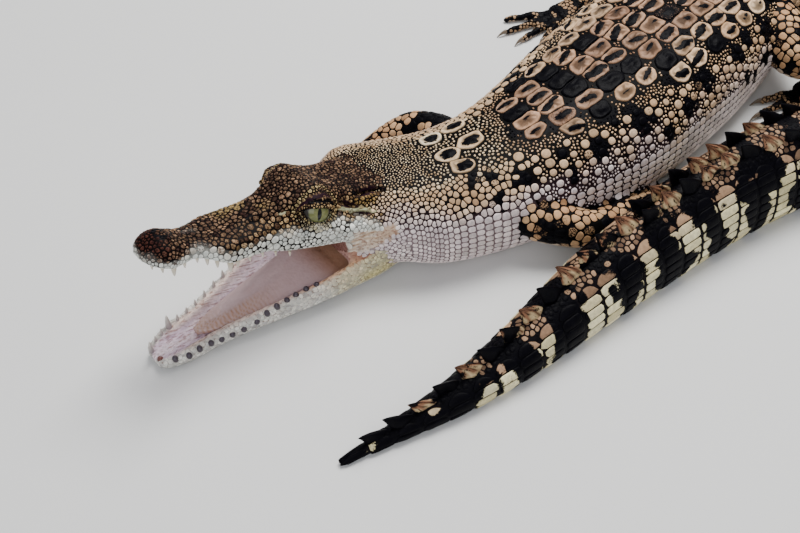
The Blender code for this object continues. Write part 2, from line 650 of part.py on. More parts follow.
def build_legs(parts, cutters, looks):
    places = np.concatenate([stations(name) for name in ("neck", "trunk_front", "trunk_rear")])
    body_room = keep(loft("body_room", [body_ring(s, BODY_SIDES, GAP) for s in places]), cutters)
    for name, table in LEGS.items():
        kind, side = name.split("_")
        toes = FORE_TOES if kind == "fore" else HIND_TOES
        turn_sign = -1 if side == "left" else 1
        sole = FEET[name]
        upper = keep(leg_piece(f"{kind}leg_{side}_upper", table, 0, 2), parts, looks["hide"])
        lower = keep(leg_piece(f"{kind}leg_{side}_lower", table, 2, 4), parts, looks["hide"])
        foot = keep(foot_sole(f"{kind}foot_{side}", sole), parts, looks["hide"])
        for piece in (upper, lower, foot):
            boolean(piece, body_room, "DIFFERENCE")
        rooms = (leg_piece(f"knee_{name}", table, 0, 2, GAP), foot_sole(f"ankle_{name}", sole, GAP))
        for room in rooms:
            boolean(lower, keep(room, cutters), "DIFFERENCE")
        for number, (turn, length) in enumerate(toes, 1):
            made, tip, out = toe(f"toe_{name}_{number}", sole, turn * turn_sign, length)
            boolean(foot, keep(made, cutters), "UNION")
            if number <= CLAWED_TOES:
                nail = claw(f"claw_{name}_{number}", tip, out, TOE_RADIUS * 0.5)
                keep(nail, parts, looks["horn"])
        if kind == "hind":
            signed = [(turn * turn_sign, length) for turn, length in toes]
            boolean(foot, keep(web(f"web_{side}", sole, signed), cutters), "UNION")


def stand_in_middle(groups):
    """Moves everything so that the footprint is centred on the origin."""
    for group in groups:
        for item in group.objects:
            item.data.transform(Matrix.Translation((*JAW_JOINT_PLAN, 0.0)))


def main():
    clear_scene()
    parts = new_collection("saltwater_crocodile")
    cutters = new_collection("cutters", hidden=True)
    looks = {
        "crown": new_material("crown_hide", (0.20, 0.13, 0.07), 0.55),
        "throat": new_material("throat_hide", (0.62, 0.58, 0.50), 0.5),
        "hide": new_material("scaly_hide", (0.34, 0.24, 0.14), 0.55),
        "tongue": new_material("mouth_skin", (0.62, 0.42, 0.38), 0.4),
        "eye": new_material("eyeball", (0.36, 0.36, 0.14), 0.1),
        "horn": new_material("claw_horn", (0.10, 0.07, 0.05), 0.35),
    }
    head_room, jaw_room = build_head(parts, cutters, looks)
    build_body(parts, cutters, looks, head_room, jaw_room)
    build_legs(parts, cutters, looks)
    stand_in_middle((parts, cutters))


main()
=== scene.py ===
# %% [markdown]
# This lesson dresses a life-size young saltwater crocodile. It lies with its mouth open and its tail
# curled forward beside it. The plain solids come from the frame. One continuous skin replaces the
# flesh solids and lies a coat's depth inside them, and thousands of solid scales are set on the skin.
# Every place is measured from the frame, so nothing is fitted by eye afterwards.

# %% Load the frame and measure it
import json
import math

import bmesh
import bpy
import numpy as np
from mathutils import Matrix, Vector
from mathutils.bvhtree import BVHTree
from mathutils.kdtree import KDTree

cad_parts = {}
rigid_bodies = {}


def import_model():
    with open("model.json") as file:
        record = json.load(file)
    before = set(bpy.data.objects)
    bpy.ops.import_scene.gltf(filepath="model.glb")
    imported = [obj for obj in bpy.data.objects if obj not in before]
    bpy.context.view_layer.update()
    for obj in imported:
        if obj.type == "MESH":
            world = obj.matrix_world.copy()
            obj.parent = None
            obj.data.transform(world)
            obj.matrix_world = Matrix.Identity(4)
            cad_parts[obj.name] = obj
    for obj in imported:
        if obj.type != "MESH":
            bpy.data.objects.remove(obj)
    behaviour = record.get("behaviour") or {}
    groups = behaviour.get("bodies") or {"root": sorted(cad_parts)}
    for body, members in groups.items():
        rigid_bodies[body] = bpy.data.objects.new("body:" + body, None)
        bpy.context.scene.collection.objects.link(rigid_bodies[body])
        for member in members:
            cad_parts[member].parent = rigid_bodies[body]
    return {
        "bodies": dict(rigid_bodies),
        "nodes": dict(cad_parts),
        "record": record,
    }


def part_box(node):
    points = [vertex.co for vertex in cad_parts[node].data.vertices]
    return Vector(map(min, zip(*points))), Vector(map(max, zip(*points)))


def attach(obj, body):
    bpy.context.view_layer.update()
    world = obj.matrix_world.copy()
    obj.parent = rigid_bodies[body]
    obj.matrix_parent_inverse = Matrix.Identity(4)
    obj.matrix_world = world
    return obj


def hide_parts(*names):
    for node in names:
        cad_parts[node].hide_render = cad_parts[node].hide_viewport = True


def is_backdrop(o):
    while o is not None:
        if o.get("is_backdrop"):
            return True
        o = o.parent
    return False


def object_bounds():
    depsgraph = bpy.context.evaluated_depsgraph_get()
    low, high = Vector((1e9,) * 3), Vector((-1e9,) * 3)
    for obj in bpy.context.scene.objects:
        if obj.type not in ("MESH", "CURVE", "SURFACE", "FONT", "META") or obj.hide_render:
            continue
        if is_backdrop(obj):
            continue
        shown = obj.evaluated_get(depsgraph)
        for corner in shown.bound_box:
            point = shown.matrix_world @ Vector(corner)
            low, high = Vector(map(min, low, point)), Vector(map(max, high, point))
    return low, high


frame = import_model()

bpy.context.view_layer.update()
CAD_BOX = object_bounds()
print("solids:", len(frame["nodes"]), "box:", [round(c, 4) for corner in CAD_BOX for c in corner])

# %% [markdown]
# The head's frame is fixed by its pitch, its roll and one known point. That point is the middle of
# the left eyeball, read from the frame, and the jaw joint's place in plan follows from it.

# %% The head's frame
SKULL = 0.115  # snout tip to the back of the skull table, metres
JAW_JOINT_HEIGHT = 0.021
HEAD_PITCH = math.radians(20.1)
HEAD_ROLL = math.radians(-3.6)
GAPE = math.radians(28.1)
SKULL_LIFT = 0.015  # the cranium's zero level above the joint, in skull lengths
JOINT_PLACE = 1.05  # the joint's place behind the snout tip, in skull lengths
EYE_PLACE = (0.668, 0.098, 0.094)  # behind the tip, outwards, up
EYE_RADIUS = 0.0088
EYE_ZONE = 0.0035  # breadth of the fine skin round an eyeball


def head_axes(pitch, roll):
    """Rows: back, left and up of a head turned by pitch and roll."""
    back = np.array([0.0, math.cos(pitch), -math.sin(pitch)])
    high = np.array([0.0, math.sin(pitch), math.cos(pitch)])
    side = np.array([1.0, 0.0, 0.0])
    left = side * math.cos(roll) - high * math.sin(roll)
    return np.array([back, left, high * math.cos(roll) + side * math.sin(roll)])


SKULL_AXES = head_axes(HEAD_PITCH, HEAD_ROLL)
JAW_AXES = head_axes(HEAD_PITCH - GAPE, 0.0)
JOINT = np.array([0.0, 0.0, JAW_JOINT_HEIGHT])
SKULL_ZERO = np.array([JOINT_PLACE, 0.0, -SKULL_LIFT])
JAW_ZERO = np.array([JOINT_PLACE, 0.0, 0.0])


def skull_point(places):
    """World points of places on the cranium, given in skull lengths."""
    return JOINT + SKULL * (np.asarray(places, float) - SKULL_ZERO) @ SKULL_AXES


def jaw_point(places):
    """World points of places on the lower jaw, given in skull lengths."""
    return JOINT + SKULL * (np.asarray(places, float) - JAW_ZERO) @ JAW_AXES


def to_skull(points):
    """Places on the cranium, in skull lengths, of world points."""
    return (points - JOINT) @ SKULL_AXES.T / SKULL + SKULL_ZERO


def to_jaw(points):
    """Places on the lower jaw, in skull lengths, of world points."""
    return (points - JOINT) @ JAW_AXES.T / SKULL + JAW_ZERO


eye_low, eye_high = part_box("eye_left")
eye_middle = np.array((eye_low + eye_high) / 2)
JOINT[:2] = eye_middle[:2] - skull_point(EYE_PLACE)[:2]
print("jaw joint stands at", JOINT.round(4))

# %% [markdown]
# The camera stands above and in front of the animal's left side and looks down at it. The floor is a
# flat pale card, and the light is one big soft box with a weaker one opposite.

# %% Camera and light
LENS = 52.97  # millimetres, on a sensor 36 wide
CAMERA_FROM_JOINT = Vector((0.3366, -0.2163, 0.392))
CAMERA_DIP = math.radians(46)
CAMERA_TURN = math.radians(55.7)
CAMERA_ROLL = math.radians(-5)
BOX_SIZE = 0.8  # the side of each lamp, metres

camera = bpy.data.objects.new("camera", bpy.data.cameras.new("camera"))
camera.data.sensor_width = 36
camera.data.lens = LENS
camera.data.clip_start = 0.01
turned = Matrix.Rotation(CAMERA_TURN, 4, "Z") @ Matrix.Rotation(math.pi / 2 - CAMERA_DIP, 4, "X")
stand = Matrix.Translation(CAMERA_FROM_JOINT + Vector((JOINT[0], JOINT[1], 0)))
camera.matrix_world = stand @ turned @ Matrix.Rotation(CAMERA_ROLL, 4, "Z")
bpy.context.scene.collection.objects.link(camera)
bpy.context.scene.camera = camera


def soft_box(name, place, aim, power, colour):
    light = bpy.data.lights.new(name, "AREA")
    light.size = BOX_SIZE
    light.energy = power
    light.color = colour
    made = bpy.data.objects.new(name, light)
    made.location = place
    made.rotation_euler = (Vector(aim) - Vector(place)).to_track_quat("-Z", "Y").to_euler()
    bpy.context.scene.collection.objects.link(made)


soft_box("sky_box", (-0.25, 0.55, 1.25), (0, 0, 0), 31, (1.0, 0.99, 0.97))
soft_box("front_fill", (0.75, -0.85, 0.75), (0, -0.05, 0.02), 6, (0.97, 0.98, 1.0))
world = bpy.data.worlds.new("studio")
world.use_nodes = True
world.node_tree.nodes["Background"].inputs["Color"].default_value = (0.9, 0.93, 1.0, 1.0)
world.node_tree.nodes["Background"].inputs["Strength"].default_value = 0.38
bpy.context.scene.world = world
print("camera at", [round(v, 3) for v in camera.matrix_world.translation])

# %% [markdown]
# A material here is written as a sum of plain expressions. One small class wraps a node's output, so
# values can be added and multiplied as in Python. One method makes any node.

# %% Shader maths
class Wire:
    """A node's output, for use in arithmetic."""

    def __init__(self, look, socket):
        self.look = look
        self.socket = socket

    def math(self, operation, *others):
        return self.look.node("ShaderNodeMath", {"operation": operation}, self, *others)

    def __add__(self, other):
        return self.math("ADD", other)

    def __mul__(self, other):
        return self.math("MULTIPLY", other)

    def __sub__(self, other):
        return self.math("SUBTRACT", other)

    __radd__ = __add__
    __rmul__ = __mul__


print("a wire can be added, subtracted and multiplied")

# %% [markdown]
# A look is a material with helpers for what the hide needs: noise, cells, soft ramps and bumps.

# %% Materials from expressions
class Look:
    """A material that is built up from expressions."""

    def __init__(self, name):
        self.material = bpy.data.materials.new(name)
        self.material.use_nodes = True
        self.tree = self.material.node_tree
        self.shader = self.tree.nodes["Principled BSDF"]

    def node(self, kind, settings=None, *values, out=0, **named):
        """Any node: its settings first, then its sockets in order or by name."""
        made = self.tree.nodes.new(kind)
        for key, value in (settings or {}).items():
            if key == "stops":
                self.set_stops(made.color_ramp, value)
            else:
                setattr(made, key, value)
        for key, value in [*enumerate(values), *named.items()]:
            self.feed(made.inputs[key.replace("_", " ") if isinstance(key, str) else key], value)
        return Wire(self, made.outputs[out])

    def set_stops(self, ramp, stops):
        while len(ramp.elements) < len(stops):
            ramp.elements.new(0.5)
        for element, (place, colour) in zip(ramp.elements, stops):
            element.position = place
            element.color = (*colour, 1.0)

    def feed(self, socket, value):
        if isinstance(value, Wire):
            self.tree.links.new(value.socket, socket)
        elif isinstance(value, (tuple, list)) and socket.type == "RGBA":
            socket.default_value = (*value[:3], 1.0)
        else:
            socket.default_value = value

    def mix(self, factor, first, second, kind="MIX"):
        """One colour laid over another."""
        made = self.tree.nodes.new("ShaderNodeMix")
        made.data_type = "RGBA"
        made.blend_type = kind
        sockets = [s for s in made.inputs if s.enabled]
        for socket, value in zip(sockets, (factor, first, second)):
            self.feed(socket, value)
        return Wire(self, next(s for s in made.outputs if s.enabled))

    def attribute(self, name, out="Color"):
        made = self.tree.nodes.new("ShaderNodeAttribute")
        made.attribute_name = name
        return Wire(self, made.outputs[out])

    def noise(self, scale, detail=4.0, rough=0.55, where=None):
        named = {"Vector": where or self.place(), "Scale": scale, "Detail": detail, "Roughness": rough}
        return self.node("ShaderNodeTexNoise", None, **named)

    def cells(self, scale, feature="F1", where=None):
        settings = {"feature": feature}
        return self.node("ShaderNodeTexVoronoi", settings, Vector=where or self.place(), Scale=scale)

    def place(self):
        """The point on the model, in metres, the same from every side."""
        return self.node("ShaderNodeTexCoord", None, out=3)

    def between(self, value, low, high):
        """Rises from nought to one as the value goes from low to high."""
        stops = [(low, (0, 0, 0)), (high, (1, 1, 1))]
        return self.node("ShaderNodeValToRGB", {"stops": stops}, Fac=value)

    def bump(self, height, strength, distance):
        return self.node("ShaderNodeBump", None, Height=height, Strength=strength, Distance=distance)

    def finish(self, **sockets):
        for key, value in sockets.items():
            self.feed(self.shader.inputs[key.replace("_", " ")], value)
        return self.material


print("a look makes:", [name for name in vars(Look) if name[0] != "_"])

# %% [markdown]
# A few small functions say what the shapes and the markings need again and again: soft steps and
# bumps, directions of length one, and a tree that finds the nearest of many points.

# %% Steps, bumps and trees
def smooth_step(value):
    t = np.clip(value, 0, 1)
    return t * t * (3 - 2 * t)


def ramp_up(x, start, width):
    return smooth_step((x - start) / width)


def ramp_down(x, end, width):
    return smooth_step((end - x) / width)


def hump(x, middle, half):
    return smooth_step(1 - np.abs(x - middle) / half)


def bell(x, width, power=2):
    return np.exp(-((x / width) ** power))


def blend(share, first, second):
    return first + (second - first) * share[:, None]


def turns(count):
    """Angles spread evenly round a circle."""
    return np.linspace(0, 2 * np.pi, count, endpoint=False)


def from_top(count):
    """Angles spread evenly round a circle, from its top round by the left."""
    return math.pi / 2 - turns(count)


def unit(vectors, tiny=0.0):
    """A vector, or each row of an array, brought to length one."""
    size = np.linalg.norm(vectors) if vectors.ndim == 1 else np.linalg.norm(vectors, axis=1)[:, None]
    return vectors / (size + tiny)


def tree_of(points):
    tree = KDTree(len(points))
    for index, point in enumerate(points):
        tree.insert(point, index)
    tree.balance()
    return tree


def read_array(items, key, width, kind=np.float32):
    """One property of all the points, edges or faces of a mesh, a row for each."""
    array = np.zeros(len(items) * width, kind)
    items.foreach_get(key, array)
    return array.reshape(-1, width)


print("a soft step at its quarters:", smooth_step(np.linspace(0, 1, 5)))

# %% [markdown] Every piece is a mesh made from arrays of points and faces.

# %% Making a piece
def write_mesh(name, points, faces, tints=None, bake=None):
    """A mesh from arrays of points and of faces that all have as many corners."""
    points, faces = np.asarray(points, np.float32), np.asarray(faces, np.int32)
    mesh = bpy.data.meshes.new(name)
    mesh.vertices.add(len(points))
    mesh.vertices.foreach_set("co", points.ravel())
    mesh.loops.add(faces.size)
    mesh.loops.foreach_set("vertex_index", faces.ravel())
    mesh.polygons.add(len(faces))
    mesh.polygons.foreach_set("loop_start", np.arange(0, faces.size, faces.shape[1], dtype=np.int32))
    mesh.update(calc_edges=True)
    mesh.validate()
    if tints is not None:
        add_tints(mesh, tints)
    if bake is not None:
        layer = mesh.uv_layers.new(name="OFBake")
        layer.data.foreach_set("uv", np.asarray(bake, np.float32)[faces.ravel()].ravel())
    return mesh


def add_tints(mesh, tints):
    """Writes a colour for each point. A fourth column, if there is one, is the mark."""
    layer = mesh.color_attributes.new("tint", "FLOAT_COLOR", "POINT")
    if tints.shape[1] == 3:
        tints = np.column_stack([tints, np.zeros(len(tints))])
    layer.data.foreach_set("color", tints.astype(np.float32).ravel())


def add_piece(name, mesh, material, slot, replaced=()):
    """Shows a mesh as a piece of the animal."""
    made = bpy.data.objects.new(name, mesh)
    bpy.context.scene.collection.objects.link(made)
    mesh.materials.append(material)
    mesh.shade_smooth()
    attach(made, BODY)
    if replaced:
        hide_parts(*replaced)
    mesh.calc_loop_triangles()
    print(f"{name}: {len(mesh.loop_triangles)} triangles")
    return made


BODY = next(iter(frame["bodies"]))
SLOTS = [entry["slot"] for entry in frame["record"]["materials"]]
print("body:", BODY, "slots:", SLOTS)

# %% [markdown]
# A loft is a tube through rings. Its two ends are closed by fans of triangles.

# %% Tubes through rings
def quads_between(rows, columns):
    """Faces of a grid of points whose rows close on themselves."""
    i, j = np.meshgrid(np.arange(rows - 1), np.arange(columns), indexing="ij")
    k = (j + 1) % columns
    quads = [i * columns + j, i * columns + k, (i + 1) * columns + k, (i + 1) * columns + j]
    return np.stack(quads, -1).reshape(-1, 4)


def tube(rings):
    """Points and triangles of a closed tube through rings of equal counts of points."""
    rings = np.asarray(rings, float)
    rows, columns = rings.shape[:2]
    points = np.concatenate([rings.reshape(-1, 3), [rings[0].mean(0)], [rings[-1].mean(0)]])
    quads = quads_between(rows, columns)
    faces = [quads[:, [0, 1, 2]], quads[:, [0, 2, 3]]]
    around = np.arange(columns)
    following = (around + 1) % columns
    start, end = rows * columns, rows * columns + 1
    base = (rows - 1) * columns
    faces.append(np.stack([np.full(columns, start), following, around], -1))
    faces.append(np.stack([np.full(columns, end), base + around, base + following], -1))
    return points, np.concatenate(faces)


def joined(parts):
    """Several (points, faces) pairs as one."""
    points, faces, count = [], [], 0
    for p, f in parts:
        points.append(p)
        faces.append(np.asarray(f) + count)
        count += len(p)
    return np.concatenate(points), np.concatenate(faces)


print("triangles of a tube of two squares:", len(tube(np.zeros((2, 4, 3)))[1]))

# %% [markdown]
# The animal's shape is a set of smooth curves. The body is one loft along a spine that lies in plan:
# a heading at every distance behind the jaw joint, and a half width, a top and a bottom there. The
# skull and the lower jaw have curves of their own, in skull lengths behind the snout tip.

# %% Curves of the body
VENT, TIP = 278, 747  # millimetres behind the jaw joint
LENGTH = TIP / 1000
FINE = 10000  # tenths of a millimetre in a metre


def curve(places, values, unit=1000):
    """Knots of a curve: places in thousandths, values in thousandths or in the unit's parts."""
    return np.column_stack([np.array(places) / 1000, np.array(values) / unit])


HEADINGS = curve(
    [0, 40, 80, 120, 160, 200, 240, 280, 320, 360, 400, 440, 480, 560, 640, 720, TIP],
    [56, 72, 86, 97, 100, 98, 99, 61, 7, -37, -67, -88, -99, -90, -88, -98, -97], 1)
FACINGS = curve([-20, 0, 35, TIP], [32, 26, 0, 0], 1)
STATIONS = [-20, 0, 30, 60, 90, 130, 170, 210, 245, VENT, 320, 400, 500, 600, 650, 690, 720, TIP]
HALF_WIDTHS = curve(
    STATIONS,
    [260, 352, 358, 370, 415, 470, 485, 450, 370, 280, 245, 210, 185, 155, 125, 85, 50, 14], FINE)
TOPS = curve(
    STATIONS,
    [380, 450, 440, 470, 520, 560, 575, 560, 520, 480, 440, 410, 420, 315, 205, 125, 72, 28], FINE)
BOTTOMS = curve(
    [-20, 0, 30, 60, 100, 210, VENT, 400, 600, TIP],
    [80, 10, -30, -60, -90, -90, -60, -50, -30, -3], FINE)
LEANS = curve([-20, 360, 440, 500, 600, 660, 700, TIP], [0, 0, 10, 30, 40, 10, 5, 0], FINE)
UPPER_POWERS = curve([-20, 400, 600, TIP], [23, 23, 19, 19], 10)
LOWER_POWER = 2.8


def ease(knots, place):
    """The value at a place on a smooth curve through the knots, which never overshoots them."""
    x, y = knots.T
    step = np.diff(x)
    slope = np.diff(y) / step
    tangent = np.zeros(len(x))
    tangent[0], tangent[-1] = slope[0], slope[-1]
    rising = slope[:-1] * slope[1:] > 0
    total = np.where(rising, slope[:-1] + slope[1:], 1.0)
    tangent[1:-1] = np.where(rising, 2 * slope[:-1] * slope[1:] / total, 0.0)
    i = np.clip(np.searchsorted(x, place, side="right") - 1, 0, len(step) - 1)
    t = np.clip((place - x[i]) / step[i], 0.0, 1.0)
    rise = y[i] + (y[i + 1] - y[i]) * (3 * t**2 - 2 * t**3)
    return rise + step[i] * (tangent[i] * (t**3 - 2 * t**2 + t) + tangent[i + 1] * (t**3 - t**2))


print("length behind the jaw joint:", LENGTH, "m, half a width at the vent:", ease(HALF_WIDTHS, VENT / 1000))

# %% [markdown]
# The spine is walked in steps of half a millimetre. Each step turns to the heading there.

# %% The spine and the body's sections
WALK = np.linspace(0.0, LENGTH, 1495)
WALK_HEADING = np.radians(ease(HEADINGS, WALK))
WALK_STEP = WALK[1] - WALK[0]
WALK_X = np.concatenate([[0.0], np.cumsum(np.cos(WALK_HEADING[:-1]) * WALK_STEP)])
WALK_Y = np.concatenate([[0.0], np.cumsum(np.sin(WALK_HEADING[:-1]) * WALK_STEP)])


def spine_at(s):
    """Plan points, and directions to the animal's left, at distances behind the jaw joint."""
    heading = np.interp(s, WALK, WALK_HEADING)
    facing = heading + np.radians(ease(FACINGS, s))
    point = np.stack([np.interp(s, WALK, WALK_X), np.interp(s, WALK, WALK_Y)], -1) + JOINT[:2]
    ahead = np.stack([np.cos(facing), np.sin(facing)], -1)
    point = point + ahead * np.minimum(s, 0.0)[..., None]
    return point, np.stack([np.sin(facing), -np.cos(facing)], -1)


SECTION_POINTS = 256  # a section is drawn with so many before they are spread evenly
COAT_DEPTH = 0.0009  # how far the skin lies inside the solids
UNDERSIDE = 0.0007  # the skin's lowest level, so that the belly scales reach the floor


def slice_at(place, out, up):
    """Rows of (place, out, up) where any of the three may be one number."""
    return np.column_stack(np.broadcast_arrays(place, out, up))


def even_ring(ring, count):
    """A closed ring with its points spread evenly along it, the first one kept."""
    loop = np.vstack([ring, ring[:1]])
    gone = np.concatenate([[0], np.cumsum(np.linalg.norm(np.diff(loop, axis=0), axis=1))])
    where = np.linspace(0, gone[-1], count, endpoint=False)
    return np.column_stack([np.interp(where, gone, column) for column in loop.T])


def body_ring(s, count):
    """A section of the body from its top line round by the animal's left side."""
    s = np.array([s], float)
    point, left = (a[0] for a in spine_at(s))
    half = ease(HALF_WIDTHS, s)[0] - COAT_DEPTH * min(1.0, ease(HALF_WIDTHS, s)[0] / 0.004)
    top, bottom = ease(TOPS, s)[0] - COAT_DEPTH * 0.8, ease(BOTTOMS, s)[0] + COAT_DEPTH
    middle = bottom + 0.5 * (top - bottom)
    turn = from_top(SECTION_POINTS)
    sin, cos = np.sin(turn), np.cos(turn)
    power = np.where(sin > 0, ease(UPPER_POWERS, s)[0], LOWER_POWER)
    across = np.sign(cos) * np.abs(cos) ** (2 / power) * half
    height = middle + np.sign(sin) * np.abs(sin) ** (2 / power) * (top - middle)
    height = np.maximum(height, min(UNDERSIDE, 0.4 * top))
    across = across + ease(LEANS, s)[0] * height / top
    ring = np.column_stack([point[0] + left[0] * across, point[1] + left[1] * across, height])
    return even_ring(ring, count)


BODY_COLUMNS = 128
BODY_ROWS = 420
BODY_PLACES = np.linspace(-0.02, LENGTH, BODY_ROWS)
BODY_GRID = np.array([body_ring(s, BODY_COLUMNS) for s in BODY_PLACES])
print("body grid:", BODY_GRID.shape, "girth at the middle:",
      np.linalg.norm(np.diff(BODY_GRID[200], axis=0), axis=1).sum().round(3))

# %% [markdown]
# The cranium's section is a cheek and a skull table melted together, above a flatter palate. The lower
# jaw's section is a trough between two rims.

# %% Curves of the skull and the lower jaw
SNOUT_WIDTHS = curve(
    [0, 20, 60, 100, 150, 190, 250, 330, 400, 470, 560, 660, 780, 900, 1000, 1060, 1120],
    [30, 62, 88, 98, 92, 88, 105, 132, 132, 132, 150, 176, 202, 226, 244, 246, 225])
CHEEK_TOPS = curve(
    [0, 30, 80, 130, 200, 300, 420, 520, 600, 700, 850, 1000, 1120],
    [26, 50, 62, 52, 36, 42, 66, 84, 92, 88, 94, 100, 90])
TABLE_WIDTHS = curve(
    [0, 400, 520, 600, 660, 720, 780, 900, 990, 1050, 1120],
    [20, 50, 92, 142, 160, 152, 150, 160, 168, 164, 150])
TABLE_TOPS = curve(
    [0, 300, 420, 520, 590, 650, 710, 800, 950, 1000, 1060, 1120],
    [20, 40, 82, 120, 174, 203, 188, 172, 174, 168, 140, 120])
LIPS = curve(
    [0, 30, 100, 150, 190, 240, 310, 380, 460, 560, 660, 800, 1000, 1120],
    [-20, -30, -42, -34, -24, -34, -58, -56, -50, -62, -56, -46, -45, -30])
LIP_POWER = 4.5
MIDDLES = curve([0, 300, 600, 1120], [-4, -4, 20, 25])
JAW_WIDTHS = curve(
    [-5, 10, 40, 80, 120, 200, 300, 440, 550, 650, 800, 950, 1060, 1150],
    [34, 60, 82, 95, 104, 112, 130, 166, 196, 221, 249, 270, 270, 236])
JAW_BOTTOMS = curve(
    [-5, 30, 100, 300, 500, 650, 800, 920, 1060, 1150],
    [-32, -55, -64, -86, -114, -136, -157, -170, -160, -120])
JAW_RIMS = curve([-5, 50, 650, 800, 1000, 1150], [6, 10, 12, 22, 10, -20])
JAW_FLOORS = curve([-5, 80, 160, 300, 600, 900, 1150], [4, 0, -20, -40, -52, -50, -35])
JAW_RIM_BREADTH = 0.046
JAW_POWER = 3.4
HEAD_INSIDE = 0.0005 / SKULL  # the head's scales are thin


def reach(turn, half, height, power):
    """Radius of a superellipse in a direction."""
    c, s = np.abs(np.cos(turn)) / half, np.abs(np.sin(turn)) / height
    return (c**power + s**power) ** (-1 / power)


def skull_ring(place, count):
    """A section of the cranium, from its top round by the left."""
    turn = from_top(SECTION_POINTS)
    wide, middle = ease(SNOUT_WIDTHS, place), ease(MIDDLES, place)
    cheek = reach(turn, wide, ease(CHEEK_TOPS, place) - middle, 2.4)
    table = reach(turn, ease(TABLE_WIDTHS, place), ease(TABLE_TOPS, place) - middle, 3.6)
    above = (cheek**8 + table**8) ** (1 / 8)
    below = reach(turn, wide, middle - ease(LIPS, place), LIP_POWER)
    radius = np.where(np.sin(turn) > 0, above, below) - HEAD_INSIDE
    ring = slice_at(place, radius * np.cos(turn), middle + radius * np.sin(turn))
    return skull_point(even_ring(ring, count))


def jaw_ring(place, count):
    """A section of the lower jaw: outside round from the left rim, then back over the floor."""
    wide, rim, sunk = (ease(knots, place) - HEAD_INSIDE for knots in (JAW_WIDTHS, JAW_RIMS, JAW_FLOORS))
    low = ease(JAW_BOTTOMS, place) + HEAD_INSIDE
    outer = np.linspace(0, -np.pi, 128)
    cos, sin = np.cos(outer), np.abs(np.sin(outer))
    bulge = 1 - 0.07 * np.abs(cos) ** 6
    outside = np.column_stack([
        np.sign(cos) * np.abs(cos) ** (2 / JAW_POWER) * wide * bulge,
        rim - sin ** (2 / JAW_POWER) * (rim - low),
    ])
    inner = wide - min(JAW_RIM_BREADTH, wide * 0.45)
    share = np.linspace(-1, 1, 64)
    depth = np.clip(1 - np.abs(share) ** 7, 0, 1)
    floor = np.column_stack([inner * share, rim + (sunk - rim) * depth])
    flat = even_ring(np.vstack([outside, floor]), count)
    ring = jaw_point(slice_at(place, *flat.T))
    ring[:, 2] = np.maximum(ring[:, 2], UNDERSIDE)
    return ring


HEAD_COLUMNS = 120
SKULL_PLACES = np.concatenate([[0.003], np.linspace(0.01, 1.1, 130)])
JAW_PLACES = np.concatenate([[-0.002], np.linspace(0.006, 1.13, 110)])
SKULL_GRID = np.array([skull_ring(p, HEAD_COLUMNS) for p in SKULL_PLACES])
JAW_GRID = np.array([jaw_ring(p, HEAD_COLUMNS) for p in JAW_PLACES])
print("grids of the skull and the jaw:", SKULL_GRID.shape, JAW_GRID.shape)

# %% [markdown]
# A leg is a loft along a path through the hip or shoulder, the knee or elbow, and the wrist or
# ankle. A foot has a sole, toes with knuckles, and on the hind foot webs between the toes.

# %% Legs and feet
def in_metres(tables):
    return {name: np.array(rows) / FINE for name, rows in tables.items()}


# Each row: a place behind the jaw joint, x, y and z, then the half-breadth and the half-thickness.
LEGS = in_metres({
    "fore_left": [(360, 440, 220, 125, 135), (570, 550, 175, 110, 115), (730, 730, 120, 85, 88),
        (735, 940, 92, 74, 70), (730, 1090, 64, 68, 52)],
    "fore_right": [(40, 520, 220, 120, 130), (-160, 560, 205, 105, 105), (-330, 510, 175, 88, 92),
        (-405, 390, 120, 78, 76), (-440, 270, 68, 70, 54)],
    "hind_left": [(160, 2460, 260, 150, 180), (380, 2340, 270, 150, 160), (565, 2270, 235, 110, 115),
        (665, 2370, 175, 90, 90), (680, 2510, 105, 78, 68)],
    "hind_right": [(-120, 2430, 260, 150, 180), (-310, 2160, 270, 150, 160), (-470, 1930, 240, 112, 120),
        (-590, 2020, 170, 94, 92), (-660, 2120, 105, 80, 68)],
})
FEET = in_metres({
    "fore_left": [(735, 1080, 52, 66, 52), (735, 1180, 42, 80, 42), (732, 1280, 30, 76, 30)],
    "fore_right": [(-440, 280, 52, 66, 52), (-450, 180, 42, 86, 42), (-455, 80, 30, 84, 30)],
    "hind_left": [(670, 2560, 50, 66, 50), (670, 2440, 46, 80, 46), (670, 2290, 34, 88, 34)],
    "hind_right": [(-680, 2160, 50, 66, 50), (-685, 2030, 46, 86, 46), (-705, 1850, 34, 96, 34)],
})
FORE_TOES = [(26, 0.012), (13, 0.016), (0, 0.018), (-13, 0.016), (-26, 0.012)]
HIND_TOES = [(24, 0.022), (8, 0.03), (-8, 0.033), (-26, 0.029)]
TOE_RADIUS = 0.0026
CLAWED_TOES = 3
LEG_INSIDE = 0.0006
LIMB_COLUMNS = 24


def limb_rings(table, steps, overshoot=0.0):
    """Sections along a limb, smoothed between its named places, starting at the upper side."""
    at = np.arange(len(table))
    where = np.linspace(-overshoot, len(table) - 1, steps)
    inner, outer = np.clip(where, 0, None), np.clip(-where, 0, None)[:, None]
    smooth = np.column_stack([ease(np.column_stack([at, column]), inner) for column in table.T])
    points = smooth[:, :3] + (table[0] - table[1])[:3] * outer + (*JOINT[:2], 0)
    along = unit(np.gradient(points, axis=0))
    side = unit(np.cross(along, (0, 0, 1)))
    up = np.cross(side, along)
    turn = from_top(LIMB_COLUMNS)
    broad, thick = (smooth[:, 3:] - LEG_INSIDE).T[:, :, None, None]
    rings = points[:, None] + np.cos(turn)[:, None] * broad * side[:, None]
    rings = rings + np.sin(turn)[:, None] * thick * up[:, None]
    rings[..., 2] = np.maximum(rings[..., 2], UNDERSIDE * 0.6)
    return rings


